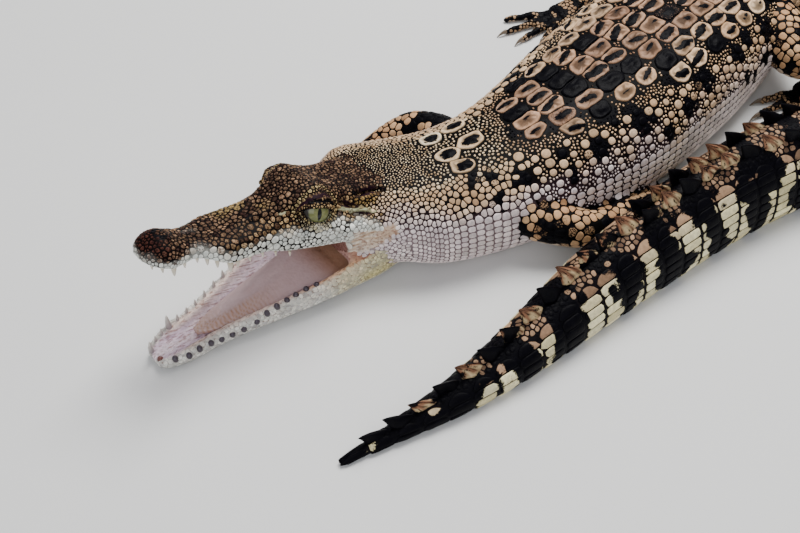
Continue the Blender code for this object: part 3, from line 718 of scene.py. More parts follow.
def toe_lines(name):
    """For each toe of a foot: its root, its tip, its direction and its length."""
    kind, side = name.split("_")
    table = FEET[name]
    end, before = table[-1, :3] + (*JOINT[:2], 0), table[-2, :3] + (*JOINT[:2], 0)
    forward = unit((end - before) * (1, 1, 0))
    across = np.array([-forward[1], forward[0], 0.0])
    lines = []
    for turn, length in FORE_TOES if kind == "fore" else HIND_TOES:
        angle = math.radians(turn * (-1 if side == "left" else 1))
        out = forward * math.cos(angle) + across * math.sin(angle)
        root = end * (1, 1, 0) + across * table[-1, 3] * 0.62 * math.sin(angle * 1.6)
        lines.append((root - out * 0.003, root + out * length, out))
    return lines


TOE_SHARES = np.linspace(0, 1, 22)


def toe_rings(root, tip, out):
    """A toe with three knuckles, lying on the floor."""
    side = np.array([out[1], -out[0], 0.0])
    swell = 1 + 0.1 * np.cos((TOE_SHARES - 0.12) * 2 * np.pi * 2.6)
    size = np.interp(TOE_SHARES, [0, 0.5, 0.85, 1.0], [1.0, 0.96, 0.78, 0.5]) * swell
    radius = (TOE_RADIUS - 0.0003) * size
    turn = from_top(16)
    centre = root + np.outer(TOE_SHARES, tip - root)
    centre[:, 2] = radius * 0.95 + 0.0004
    rings = centre[:, None] + np.cos(turn)[:, None] * radius[:, None, None] * side
    rings[..., 2] += np.sin(turn) * radius[:, None]
    return rings


def web_plate(name):
    """The skin between the toes of a hind foot, as a thin closed plate."""
    base = FEET[name][-1, :2] + JOINT[:2]
    edge = [base]
    lines = toe_lines(name)
    for number, (root, tip, _) in enumerate(lines):
        edge.append((root + (tip - root) * 0.62)[:2])
        if number + 1 < len(lines):
            after = lines[number + 1]
            edge.append((0.5 * (root + after[0]) + 0.25 * (tip - root + after[1] - after[0]))[:2])
    low = np.column_stack([edge, np.full(len(edge), 0.0005)])
    high = low + (0, 0, 0.0016)
    count = len(edge)
    fan = [(0, i, i + 1) for i in range(1, count - 1)]
    faces = [f[::-1] for f in fan] + [tuple(count + i for i in f) for f in fan]
    for i in range(count):
        j = (i + 1) % count
        faces += [(i, j, count + j), (i, count + j, count + i)]
    return np.vstack([low, high]), np.array(faces)


LEG_GRIDS = {name: limb_rings(table, 40, overshoot=0.35) for name, table in LEGS.items()}
FOOT_GRIDS = {name: limb_rings(table, 20) for name, table in FEET.items()}
print("legs:", list(LEG_GRIDS))

# %% [markdown]
# The corners of the open mouth are stretched skin between the two jaws. A wedge of flesh fills them,
# deeper than the skin of the cheeks.

# %% Corners of the mouth
def lining_grid():
    """Sections of the wedge that closes the back of the mouth."""
    rings = []
    for place in np.linspace(0.8, 1.02, 12):
        half = min(ease(SNOUT_WIDTHS, place), ease(JAW_WIDTHS, place)) - 0.016
        out = half * np.linspace(1, -1, 15)
        roof = skull_point(slice_at(place, out, ease(LIPS, place) + 0.006))
        floor = jaw_point(slice_at(place, -out, ease(JAW_RIMS, place) - 0.006))
        rings.append(np.vstack([roof, floor]))
    return np.array(rings)


LINING_GRID = lining_grid()
print("grid of the wedge:", LINING_GRID.shape)

# %% [markdown]
# All of these lofts overlap one another. A voxel remesh melts them into one closed skin with no seam,
# as a sculptor would do with clay. Its squares are about a millimetre across, and those on the head
# are split again, because lids, folds and nostrils need finer ones.

# %% One skin from many lofts
VOXEL = 0.00115
HEAD_REACH = 0.012  # the fine squares go this far behind the jaw joint
HEAD_SIDE = 0.045  # and this far to its side, short of the tail


def remeshed(points, faces, voxel):
    """Points and squares of a closed surface round everything the faces enclose."""
    mesh = bpy.data.meshes.new("clay")
    mesh.from_pydata(points.tolist(), [], faces.tolist())
    clay = bpy.data.objects.new("clay", mesh)
    bpy.context.scene.collection.objects.link(clay)
    change = clay.modifiers.new("melt", "REMESH")
    change.mode = "VOXEL"
    change.voxel_size = voxel
    bpy.context.view_layer.update()
    result = bpy.data.meshes.new_from_object(clay.evaluated_get(bpy.context.evaluated_depsgraph_get()))
    bpy.data.objects.remove(clay)
    return result


def split_squares(mesh, wanted):
    """Splits the faces for which wanted is true into four."""
    work = bmesh.new()
    work.from_mesh(mesh)
    work.faces.ensure_lookup_table()
    edges = {edge for index in np.flatnonzero(wanted) for edge in work.faces[index].edges}
    bmesh.ops.subdivide_edges(work, edges=list(edges), cuts=1, use_grid_fill=True)
    bmesh.ops.triangulate(work, faces=[f for f in work.faces if len(f.verts) > 4])
    work.to_mesh(mesh)
    work.free()


def face_middles(mesh):
    return read_array(mesh.polygons, "center", 3)


def relaxed(points, edges, rounds):
    """Points pulled towards the middle of their neighbours, then back out a little."""
    count = np.bincount(edges.ravel(), minlength=len(points))[:, None]
    for _ in range(rounds):
        for pull in (0.5, -0.46):
            total = np.zeros_like(points)
            for axis in range(3):
                total[:, axis] = np.bincount(edges[:, 0], points[edges[:, 1], axis], len(points))
                total[:, axis] += np.bincount(edges[:, 1], points[edges[:, 0], axis], len(points))
            points = points + pull * (total / count - points)
    return points


lofts = [tube(BODY_GRID[::3]), tube(SKULL_GRID), tube(JAW_GRID), tube(LINING_GRID)]
for name in LEGS:
    lofts += [tube(LEG_GRIDS[name]), tube(FOOT_GRIDS[name])]
    lofts += [tube(toe_rings(*line)) for line in toe_lines(name)]
    if name.startswith("hind"):
        lofts.append(web_plate(name))
skin_mesh = remeshed(*joined(lofts), VOXEL)
near_head = face_middles(skin_mesh)[:, 1] < JOINT[1] + HEAD_REACH
on_head_side = face_middles(skin_mesh)[:, 0] < JOINT[0] + HEAD_SIDE
split_squares(skin_mesh, near_head & on_head_side)
near_eyes = np.zeros(len(skin_mesh.polygons), bool)
for eye in ("eye_left", "eye_right"):
    middle = np.mean(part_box(eye), axis=0)
    near_eyes |= np.linalg.norm(face_middles(skin_mesh) - middle, axis=1) < EYE_RADIUS + EYE_ZONE
split_squares(skin_mesh, near_eyes)
skin_points = relaxed(read_array(skin_mesh.vertices, "co", 3).astype(float),
                      read_array(skin_mesh.edges, "vertices", 2, np.int32), 3)
print("skin:", len(skin_points), "points")

# %% [markdown]
# To sculpt or colour a point of the skin, one has to know which part of the animal it lies on. A cloud
# of sample points, taken from the lofts, carries the part, the distance along it, the turn round it
# and the direction towards the tail. Each skin point takes these from its nearest sample.

# %% Which part a point lies on
ON_BODY, ON_SKULL, ON_JAW, ON_LEG, ON_FOOT = range(5)
PART, LIMB, ALONG, TURN = 3, 4, 5, 6  # columns of a sample row, after its point
LIE = slice(7, 10)
TINY = 1e-12  # keeps a division from failing


def samples(region, limb, grid, along):
    """Sample rows of a grid of rings. The turn goes from 0 at the top to 1 round the left and back."""
    rows, columns = grid.shape[:2]
    points = grid.reshape(-1, 3)
    turn = np.tile(np.arange(columns) / columns, rows)
    part = np.zeros(len(turn)) + region
    lie = unit(np.gradient(grid, axis=0).reshape(-1, 3), TINY)
    return np.column_stack([points, part, np.zeros(len(turn)) + limb, np.repeat(along, columns), turn, lie])


cloud = [
    samples(ON_BODY, 0, BODY_GRID[::2, ::2], BODY_PLACES[::2]),
    samples(ON_SKULL, 0, SKULL_GRID[::2, ::2], SKULL_PLACES[::2]),
    samples(ON_JAW, 0, JAW_GRID[::2, ::2], JAW_PLACES[::2]),
]
for limb, name in enumerate(LEGS):
    for region, grid in ((ON_LEG, LEG_GRIDS[name]), (ON_FOOT, FOOT_GRIDS[name])):
        cloud.append(samples(region, limb, grid, np.linspace(0, 1, len(grid))))
    for toe, line in enumerate(toe_lines(name), 1):
        cloud.append(samples(ON_FOOT, limb + 4 * toe, toe_rings(*line)[::2, ::2], np.linspace(1, 2, 11)))
cloud = np.concatenate(cloud)
cloud_tree = tree_of(cloud[:, :3])
skin_rows = cloud[[cloud_tree.find(p)[1] for p in skin_points]]
skin_region = skin_rows[:, PART].astype(int)
print("samples:", len(cloud), "skin points by part:", np.bincount(skin_region))

# %% [markdown]
# The head is sculpted by pushing skin points along their normals. Grooves and ridges follow short
# lines given in skull lengths: the ear slit under the skull table, the slits behind the eye, the
# ridges in front of the eyes, the folds at the corner of the mouth and a swelling over each tooth.

# %% Folds and ridges of the head
def distance_to_line(points, line):
    """Distance from points to a polyline, and how far along it the nearest place is, 0 to 1."""
    best = np.full(len(points), 1e9)
    share = np.zeros(len(points))
    for number, (a, b) in enumerate(zip(line, line[1:])):
        span = b - a
        t = np.clip((points - a) @ span / (span @ span), 0, 1)
        away = np.linalg.norm(points - a - t[:, None] * span, axis=1)
        closer = away < best
        best[closer] = away[closer]
        share[closer] = (number + t[closer]) / (len(line) - 1)
    return best, share


print("halfway along a line:", distance_to_line(np.zeros((1, 3)), np.array([[-1, 0, 0], [1, 0, 0]]))[1])

# %% [markdown]
# Grooves are negative and ridges positive. A line that leaves the midline is laid on both sides.

# %% Lines of the head
def folds(rows):
    """Lines in skull lengths and their sizes in metres, from thousandths and tenths of a millimetre."""
    return [(np.array(line) / 1000, *(size / FINE for size in sizes)) for line, *sizes in rows]


# Each line: its places, its half-width and its height, up or down.
SKULL_LINES = folds([
    ([(360, 45, 60), (460, 52, 98), (560, 80, 150)], 22, 10),  # brow ridge
    ([(760, 140, 170), (860, 150, 170), (980, 162, 168)], 15, 9),  # table edge
    ([(845, 130, 132), (912, 131, 145), (968, 140, 144)], 11, -26),  # ear slit
    ([(800, 142, 116), (860, 148, 116), (940, 158, 118)], 15, 9),  # ear flap
    ([(761, 131, 126), (800, 142, 109), (840, 152, 96)], 9, -20),  # slit behind the eye
    ([(800, 162, 77), (840, 172, 75), (880, 181, 74)], 8, -16),  # lower slit
    ([(778, 149, 92), (840, 160, 88), (900, 180, 79)], 12, 6),  # fold between
    ([(544, 140, 38), (585, 151, 13), (630, 163, 3)], 6, -7),  # cheek fold
    ([(738, 180, 53), (775, 189, 50), (863, 204, 53)], 6, -6),  # temple fold
    ([(584, 109, 108), (610, 123, 145), (651, 134, 167), (690, 134, 166),
     (735, 132, 137)], 7, -7),  # upper lid fold
    ([(220, 0, 34), (360, 0, 60), (500, 0, 100)], 30, -8),  # snout furrow
    ([(720, 0, 180), (960, 0, 175)], 70, -9),  # table hollow
    ([(800, 201, -8), (900, 222, 10), (1000, 240, 20)], 7, -8),  # corner fold 1
    ([(820, 200, -30), (920, 224, -10), (1000, 240, 6)], 7, -8),  # corner fold 2
    ([(840, 198, -50), (940, 226, -28), (1010, 240, -4)], 7, -8),  # corner fold 3
    ([(1030, 0, 165), (1030, 100, 160), (1020, 175, 140), (1040, 225, 80)], 18, -12),  # nape fold
])
JAW_LINES = folds([
    ([(900, 255, 0), (1000, 266, -20), (1100, 262, -40)], 8, -12),  # corner fold 3
    ([(300, 126, -40), (600, 200, -70), (900, 262, -90)], 12, -5),  # jaw seam
    ([(50, 0, -58), (200, 0, -72), (320, 0, -88)], 10, -5),  # chin seam
])


def on_both_sides(places, line):
    """Distance to a line and the share of it passed there, for the left line and the right one."""
    for side in (1, -1):
        yield distance_to_line(places * SKULL, line * (1, side, 1) * SKULL)


def line_push(places, lines):
    """Height that the lines add at places given in skull lengths."""
    push = np.zeros(len(places))
    for line, width, height in lines:
        for away, share in on_both_sides(places, line):
            ends = np.clip(6 * share * (1 - share) + 0.25, 0, 1)
            push += height * ends * bell(away, width)
            if not line[:, 1].any():  # on the midline both sides are one
                break
    return push


print("lines on the skull and on the jaw:", len(SKULL_LINES), len(JAW_LINES))

# %% [markdown]
# The teeth are known here already, because gum and lip swell round each of them.

# %% Places of the teeth
# The worn domes of the near side: place, outwards and up, in skull lengths.
NEAR_DOMES = np.array([
    (16, 26, 4), (58, 72, 9), (106, 93, 4), (152, 96, 4), (199, 103, -2), (240, 108, -12),
    (284, 115, -18), (330, 124, -22), (385, 137, -12), (432, 147, 4), (477, 152, 8), (522, 156, 9),
    (561, 161, 8), (606, 167, 6), (648, 178, 6),
]) / 1000
LOWER_TEETH = curve(
    [10, 45, 78, 118, 160, 205, 250, 300, 352, 405, 458, 510, 560, 607, 650],
    [44, 26, 28, 58, 26, 24, 24, 26, 28, 32, 34, 30, 26, 24, 20], FINE)
UPPER_TEETH = curve(
    [30, 62, 103, 148, 200, 236, 272, 318, 348, 400, 455, 510, 565],
    [20, 24, 40, 26, 29, 34, 32, 44, 26, 16, 15, 14, 13], FINE)


def tooth_swellings(places, teeth, edge, level, inset):
    """The gum and lip stand out a little round each tooth."""
    push = np.zeros(len(places))
    for place, height in teeth:
        for side in (1, -1):
            root = np.array([place, side * (ease(edge, place) - inset), ease(level, place)])
            away = np.linalg.norm((places - root) * SKULL, axis=1)
            push += 0.16 * height * bell(away, 0.0022 + 0.15 * height)
    return push


print("teeth above and below on one side:", len(UPPER_TEETH), len(LOWER_TEETH))

# %% [markdown]
# The nostrils are two curved slits on a raised disc. All the pushes are added up and the skin's points
# move along their normals.

# %% Nostrils and sculpting
NAPE_END = 0.03  # folds of the head run so far onto the body
NARIAL_DISC = (0.078, 0.0, 0.06)
NOSTRIL = np.array([(60, 12, 66), (74, 24, 66), (90, 22, 64)]) / 1000


def nose_push(places):
    away = np.linalg.norm((places - np.array(NARIAL_DISC)) * SKULL * (1, 1, 0.8), axis=1)
    push = 0.0012 * bell(away, 0.0052, 4)
    for gap, _ in on_both_sides(places, NOSTRIL):
        push -= 0.0018 * bell(gap, 0.0007)
    return push


skin_mesh.vertices.foreach_set("co", skin_points.astype(np.float32).ravel())
skin_mesh.update()
skin_normals = read_array(skin_mesh.vertices, "normal", 3).astype(float)
nape = (skin_region == ON_BODY) & (skin_rows[:, ALONG] < NAPE_END)
crown = np.flatnonzero((skin_region == ON_SKULL) | nape)
jaw = np.flatnonzero(skin_region == ON_JAW)
crown_places, jaw_places = to_skull(skin_points[crown]), to_jaw(skin_points[jaw])
push = np.zeros(len(skin_points))
push[crown] = line_push(crown_places, SKULL_LINES) + nose_push(crown_places)
push[crown] += tooth_swellings(crown_places, UPPER_TEETH, SNOUT_WIDTHS, LIPS, 0.006)
push[jaw] = line_push(jaw_places, JAW_LINES)
push[jaw] += tooth_swellings(jaw_places, LOWER_TEETH, JAW_WIDTHS, JAW_RIMS, 0.012)
skin_points = skin_points + skin_normals * push[:, None]
print("sculpted by up to", round(float(np.abs(push).max()) * 1000, 2), "mm")

# %% [markdown]
# The eyelids are a second sphere round the eyeball with an almond opening cut in it. Skin points near
# the eye move out to that sphere, and those inside the opening sink behind the ball. A raised rim
# runs round the opening, heavier below, as on the real animal.

# %% Eyelids
LID_DEPTH = 0.0008
LID_REACH = EYE_RADIUS + 0.007  # skin nearer to the eye's middle than this belongs to the lids
OPENING_HALF = 0.006
OPENING_UP, OPENING_DOWN = 0.0016, 0.0038
GAZE = (-0.26, 0.93, 0.3)  # forwards, outwards and up, in the skull's axes
LID_TILT = math.radians(-6)


def eye_axes(side):
    """Middle of an eyeball, and rows: towards the back of the opening, up, and outwards."""
    name = "eye_left" if side > 0 else "eye_right"
    low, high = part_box(name)
    gaze = unit(np.array([GAZE[0], side * GAZE[1], GAZE[2]]) @ SKULL_AXES)
    back = unit(SKULL_AXES[0] - (SKULL_AXES[0] @ gaze) * gaze)
    up = unit(SKULL_AXES[2] - (SKULL_AXES[2] @ gaze) * gaze - (SKULL_AXES[2] @ back) * back)
    cos, sin = math.cos(LID_TILT), math.sin(LID_TILT)
    return np.array((low + high) / 2), np.array([back * cos + up * sin, up * cos - back * sin, gaze])


def opening_gap(x, y):
    """How far a place on the ball lies outside the opening of the lids. Inside it is negative."""
    lens = np.clip(1 - (x / OPENING_HALF) ** 2, 0, 1)
    above = y - OPENING_UP * lens**0.4
    below = -y - OPENING_DOWN * lens**0.62
    gap = np.maximum(above, below)
    beyond = np.hypot(np.abs(x) - OPENING_HALF, y)
    return np.where(np.abs(x) > OPENING_HALF, np.maximum(beyond, 0.0), gap)


def with_lids(points, side):
    """The points, with those near one eye moved onto its lids."""
    middle, axes = eye_axes(side)
    local = (points - middle) @ axes.T
    radius = np.linalg.norm(local, axis=1)
    near = np.flatnonzero((radius < LID_REACH) & (local[:, 2] > 0.15 * radius))
    r = radius[near]
    x, y = (local[near, :2] / r[:, None] * EYE_RADIUS).T
    gap = opening_gap(x, y)
    rim = 0.0005 * bell(gap - 0.0009, 0.0006) * np.where(y < 0, 1.25, 0.8)
    fold = 0.0004 * bell(gap - 0.003, 0.0005)
    lid = EYE_RADIUS + LID_DEPTH + rim - fold
    opened = smooth_step(gap / 0.0005)
    target = (EYE_RADIUS - 0.0016) * (1 - opened) + lid * opened
    away = ramp_up(gap, 0.0012, 0.0034)
    settled = target * (1 - away) + np.maximum(r, target) * away
    moved = np.where(gap < 0, np.minimum(r, target), settled)
    fade = smooth_step((LID_REACH - r) / 0.003)
    final = r + (moved - r) * np.maximum(fade, gap < 0.001)
    points[near] = middle + (local[near] / r[:, None] * final[:, None]) @ axes
    return points


for side in (1, -1):
    skin_points = with_lids(skin_points, side)
print("the lids open", round(2000 * OPENING_HALF, 1), "mm wide")

# %% [markdown]
# The finished surface is kept as arrays, with a tree that finds its nearest point to any place.

# %% Surface of the skin
skin_mesh.vertices.foreach_set("co", skin_points.astype(np.float32).ravel())
skin_mesh.update()
skin_mesh.calc_loop_triangles()
triangles = read_array(skin_mesh.loop_triangles, "vertices", 3, np.int32)
skin_tree = BVHTree.FromPolygons(skin_points.tolist(), triangles.tolist())
triangle_rows = skin_rows[triangles[:, 0]]
corners = skin_points[triangles]
facing = np.cross(corners[:, 1] - corners[:, 0], corners[:, 2] - corners[:, 0])
triangle_areas = 0.5 * np.linalg.norm(facing, axis=1)
skin_normals = read_array(skin_mesh.vertices, "normal", 3).astype(float)
print("triangles of the skin:", len(triangles))

# %% [markdown]
# An eyeball shows between the lids, so only its front needs care: a clear bulge over the iris, a
# darker rim, and an upright slit, which are all colours carried by the points of one ball.

# %% Eyeballs
EYE_RIM = np.array([0.03, 0.026, 0.02])


def eyeball_mesh(name, side):
    """A ball with a bulging cornea, a mottled iris and an upright slit pupil."""
    middle, axes = eye_axes(side)
    polar = np.concatenate([np.linspace(0.004, 0.95, 70), np.linspace(0.99, math.pi - 0.02, 22)])
    turn = turns(96)
    cornea = 1 + 0.03 * bell(polar, 0.5, 4)
    sin = (np.sin(polar) * EYE_RADIUS * cornea)[:, None]
    rings = np.stack([
        sin * np.cos(turn), sin * np.sin(turn) * side,
        np.repeat((np.cos(polar) * EYE_RADIUS * cornea)[:, None], 96, 1)], -1)
    points, faces = tube(rings)
    x, y = points[:, 0], points[:, 1]
    away = np.hypot(x, y)
    angle = np.arctan2(y, x)
    streak = 0.5 + 0.5 * np.sin(angle * 37 + 2 * np.sin(angle * 11)) * np.sin(angle * 61 + 1)
    iris = np.array([0.105, 0.115, 0.036]) + streak[:, None] * np.array([0.1, 0.1, 0.032])
    iris = blend(0.4 * bell(away - 0.0016, 0.0011), iris, np.array([0.28, 0.27, 0.12]))
    tints = blend(ramp_up(away, 0.0041, 0.0008), iris, EYE_RIM)
    low = y + 0.0005
    half = 0.00095 * np.clip(1 - (low / 0.0031) ** 2, 0, 1) ** 0.8
    pupil = smooth_step((half - np.abs(x)) / 0.00018 + 0.5) * (np.abs(low) < 0.0031)
    tints = blend(pupil, tints, np.array([0.004, 0.004, 0.005]))
    tints = np.where(points[:, 2:] > 0, tints, EYE_RIM)
    return write_mesh(name, middle + points @ axes, faces, tints)


eye_look = Look("wet_eye")
eye_look.finish(Base_Color=eye_look.attribute("tint"), Roughness=0.25, Coat_Weight=0.5,
                Coat_Roughness=0.04, Specular_IOR_Level=0.2)
for side, name in ((1, "eye_left"), (-1, "eye_right")):
    add_piece(name + "_ball", eyeball_mesh(name, side), eye_look.material, "eyeball", [name])

# %% [markdown]
# Teeth are short curved cones that stand in swellings of the gum. The lower ones on the near side are
# worn to low dark domes that sit on the lip, and the others are pale and pointed.

# %% Teeth
TOOTH_ROWS = np.linspace(0, 1, 9)
TOOTH_SIDES = 12


def tooth_rings(root, tip, radius, blunt, bend):
    """Sections of one tooth from its root to its tip."""
    axis = tip - root
    height = np.linalg.norm(axis)
    axis = axis / height
    side = unit(np.cross(axis, SKULL_AXES[0]))
    other = np.cross(side, axis)
    turn = turns(TOOTH_SIDES)
    circle = np.outer(np.cos(turn), side) + 0.88 * np.outer(np.sin(turn), other)
    rings = []
    for t in TOOTH_ROWS:
        size = radius * (1 - t**blunt) ** 0.62 + 0.00006
        rings.append(root + axis * height * t + bend * (t**2) + size * circle)
    return rings


TOOTH_SHARES = np.concatenate([np.repeat(TOOTH_ROWS, TOOTH_SIDES), [0, 1]])


def tooth_row(teeth, point, edge, level, inset, direction, sides, stout):
    """Pointed teeth of one jaw: points and faces, and tints."""
    parts, tints = [], []
    for side in sides:
        for place, height in teeth:
            out = ease(edge, place) - inset
            base = ease(level, place)
            root = point((place, side * out, base - direction * 0.0016 / SKULL))
            tip = point((place + 0.006, side * out * 0.99, base + direction * height / SKULL))
            bend = 0.1 * height * SKULL_AXES[0]
            parts.append(tube(tooth_rings(root, tip, height * stout + 0.00025, 1.25, bend)))
            base = np.array([0.62, 0.55, 0.4]) if direction < 0 else np.array([0.26, 0.2, 0.24])
            tints.append(blend(TOOTH_SHARES, base, np.array([0.8, 0.77, 0.7])))
    return parts, tints


def worn_domes():
    """The low dark teeth of the near side, each standing out of the lip."""
    parts, tints = [], []
    for number, place in enumerate(NEAR_DOMES):
        root, normal, _, _ = skin_tree.find_nearest(jaw_point(place))
        root = np.array(root)
        axis = unit(0.55 * np.array(normal) + 0.85 * JAW_AXES[2])
        tall = 0.0015 + 0.0003 * math.sin(2.1 * number)
        parts.append(tube(tooth_rings(root - 0.0008 * axis, root + tall * axis, 0.00158, 2.8, 0 * axis)))
        dark = blend(TOOTH_SHARES, np.array([0.04, 0.024, 0.034]), np.array([0.052, 0.038, 0.06]))
        if number == 0:
            dark = blend(TOOTH_SHARES, np.array([0.112, 0.0315, 0.0245]), np.array([0.192, 0.054, 0.042]))
        tints.append(dark)
    return parts, tints


upper = tooth_row(UPPER_TEETH, skull_point, SNOUT_WIDTHS, LIPS, 0.02, -1, (1, -1), 0.3)
far_side = tooth_row(LOWER_TEETH * (1, 1.3), jaw_point, JAW_WIDTHS, JAW_RIMS, 0.028, 1, (-1,), 0.2)
lower = [near + far for near, far in zip(far_side, worn_domes())]
tooth_look = Look("tooth_enamel")
grain = tooth_look.noise(900.0, 3.0)
tooth_look.finish(
    Base_Color=tooth_look.mix(grain * 0.6, tooth_look.attribute("tint"), (0.55, 0.45, 0.36), "MULTIPLY"),
    Roughness=grain * 0.2 + 0.22, Coat_Weight=0.4,
    Normal=tooth_look.bump(grain, 0.3, 0.0002))
for name, (parts, tints) in {"upper_teeth": upper, "lower_teeth": lower}.items():
    mesh = write_mesh(name, *joined(parts), np.concatenate(tints))
    add_piece(name, mesh, tooth_look.material, "claw_horn")

# %% [markdown]
# The tongue is a low broad pad that is held down along its whole length. In front of it the floor of
# the mouth gathers in cross folds.

# %% Tongue
TONGUE_START, TONGUE_END = 0.185, 0.84
TONGUE_HALVES = curve([185, 240, 360, 450, 620, 780, 850], [12, 36, 62, 74, 94, 122, 124])


def tongue_mesh():
    rings, shares = [], []
    for place in np.linspace(TONGUE_START, TONGUE_END, 90):
        share = (place - TONGUE_START) / (TONGUE_END - TONGUE_START)
        inner = ease(JAW_WIDTHS, place) - JAW_RIM_BREADTH - 0.002
        half = min(ease(TONGUE_HALVES, place), inner)
        base = ease(JAW_FLOORS, place) - 0.004
        thick = 0.02 + 0.024 * math.sin(math.pi * min(1.0, 0.1 + share)) ** 0.5
        turn = turns(48)
        across = np.cos(turn) * np.where(np.cos(turn) > 0, min(1.35 * half, inner), half)
        up = base + thick * (0.5 + 0.5 * np.abs(np.sin(turn)) ** 0.8 * np.sign(np.sin(turn)))
        groove = 0.004 * bell(across, 0.01) * (np.sin(turn) > 0)
        ripple = 0.0012 * np.sin(across * 190 + 3 * math.sin(place * 40)) * (np.sin(turn) > 0.2)
        folded = bell(share, 0.2) + 0.8 * (across > 0.35 * half) * (share < 0.5)
        gathers = 0.003 * np.clip(folded, 0, 1) * np.sin(place * 330 - across * 60)
        up = up + (gathers - groove + ripple) * np.maximum(np.sin(turn), 0)
        rings.append(jaw_point(slice_at(place, across, up)))
        shares.append(slice_at(share, across / half, place))
    points, faces = tube(rings)
    share, across, place = np.concatenate([*shares, shares[0][:1], shares[-1][:1]]).T
    near_side = ramp_up(across, 0.2, 0.3) * ramp_down(share, 0.6, 0.3)
    front = bell(share, 0.16) + 0.9 * near_side
    waves = np.sin(place * 330 - across * 4 + 1.8 * np.sin(across * 7 + place * 23))
    ridged = np.clip(front, 0, 1) * (0.55 + 0.45 * waves)
    tints = blend(ridged, np.array([0.66, 0.52, 0.53]), np.array([0.5, 0.3, 0.19]))
    tints = blend(ramp_up(share, 0.7, 0.22), tints, np.array([0.42, 0.24, 0.15]))
    return write_mesh("tongue_pad", points, faces, tints)


wet_look = Look("wet_mouth")
pores = wet_look.cells(700.0)
soft = wet_look.noise(260.0, 5.0)
wet_look.finish(
    Base_Color=wet_look.mix(soft * 0.9, wet_look.attribute("tint"), (0.8, 0.7, 0.68), "MULTIPLY"),
    Roughness=soft * 0.25 + 0.28, Coat_Weight=0.35,
    Normal=wet_look.bump(pores + soft * 1.5, 0.35, 0.0004))
add_piece("tongue_pad", tongue_mesh(), wet_look.material, "mouth_skin", ["tongue"])

# %% [markdown]
# Each claw is a hooked cone that starts inside its toe. The three inner toes of each foot have one.

# %% Claws
CLAW_LENGTH, CLAW_ROOT = 0.0052, 0.0009


def claw_rings(tip, out):
    """Sections of one claw, from inside the toe to its point on the floor."""
    side = np.array([out[1], -out[0], 0.0])
    rings = []
    for t in np.linspace(0, 1, 14):
        size = 0.00125 * (1 - t) ** 0.75 + 0.00006
        middle = tip + out * (-CLAW_ROOT + (CLAW_LENGTH + CLAW_ROOT) * t)
        middle[2] = 0.0014 + 0.0012 * math.sin(math.pi * min(1.0, 0.25 + t * 0.8)) - 0.001 * t
        turn = turns(12)
        ring = middle + np.outer(np.cos(turn) * size * 0.8, side)
        ring[:, 2] = np.maximum(ring[:, 2] + np.sin(turn) * size * 1.1, 0.00005)
        rings.append(ring)
    return rings


claw_look = Look("claw_horn_layers")
lines = claw_look.noise(1500.0, 2.0)
claw_look.finish(
    Base_Color=claw_look.mix(lines * 0.6, (0.075, 0.05, 0.035), (0.26, 0.19, 0.12)),
    Roughness=lines * 0.2 + 0.25, Normal=claw_look.bump(lines, 0.4, 0.0002))
for name in LEGS:
    parts = [tube(claw_rings(tip, out)) for _, tip, out in toe_lines(name)[:CLAWED_TOES]]
    nodes = [f"claw_{name}_{number}" for number in range(1, CLAWED_TOES + 1)]
    add_piece(f"claws_{name}", write_mesh(f"claws_{name}", *joined(parts)), claw_look.material,
              "claw_horn", nodes)

# %% [markdown]
# The markings are functions of the place on the animal, so the skin and every scale on it agree. Each
# place has a tint, the colour of the joints between scales there, and a mark, which is above one half
# where the hide is black. The black comes in rounded blots on the trunk and legs and in ragged bands
# on the tail.

# %% Paints and steady noise
def paint(red, green, blue):
    """A colour as seen on a screen, 0 to 255, as the linear light that a shader works in."""
    value = np.array([red, green, blue]) / 255
    return np.where(value < 0.04, value / 12.92, ((value + 0.055) / 1.055) ** 2.4)


PRIMES = np.array([73856093, 19349663, 83492791], dtype=np.int64)


def hashed(cells, seed):
    """A steady random number from 0 to 1 for each integer cell."""
    mixed = (cells.astype(np.int64) * PRIMES[: cells.shape[-1]]).sum(-1) + seed * 912931
    mixed = (mixed ^ (mixed >> 13)) * 1274126177 & 0x7FFFFFFF
    return ((mixed ^ (mixed >> 16)) & 0xFFFF) / 65535.0


def rough(points, size, seed=0):
    """Smooth noise from 0 to 1 with features of the given size."""
    scaled = np.asarray(points, float) / size
    cell = np.floor(scaled)
    part = smooth_step(scaled - cell)
    total = np.zeros(len(scaled))
    for corner in np.ndindex(*(2,) * scaled.shape[1]):
        step = np.array(corner)
        weight = np.prod(np.where(step, part, 1 - part), axis=1)
        total += weight * hashed(cell + step, seed)
    return total


def mottled(points, size, seed, dark, light):
    """A colour that wanders between two paints."""
    return blend(rough(points, size, seed), paint(*dark), paint(*light))


print("noise at three places:", rough(np.eye(3), 0.3).round(2))

# %% [markdown]
# Blots stand on a grid whose cells each move their blot a little, change its size, and now and then
# leave it out.

# %% Blots
def blots(places, spacing, radius, seed, share=0.8):
    """Rounded blots on a jittered grid: above zero inside one, one at its middle."""
    scaled = places / spacing
    cell = np.floor(scaled)
    best = np.full(len(places), -1.0)
    for corner in np.ndindex(*(3,) * places.shape[1]):
        here = cell + np.array(corner) - 1
        jitter = np.column_stack([hashed(here, seed + 7 * axis) for axis in range(places.shape[1])])
        middle = (here + 0.2 + 0.6 * jitter) * spacing
        size = radius * (0.75 + 0.5 * hashed(here, seed + 31))
        away = ((places - middle) ** 2).sum(1) / size**2
        there = hashed(here, seed + 53) < share
        best = np.maximum(best, np.where(there, 1 - away, -1.0))
    return best


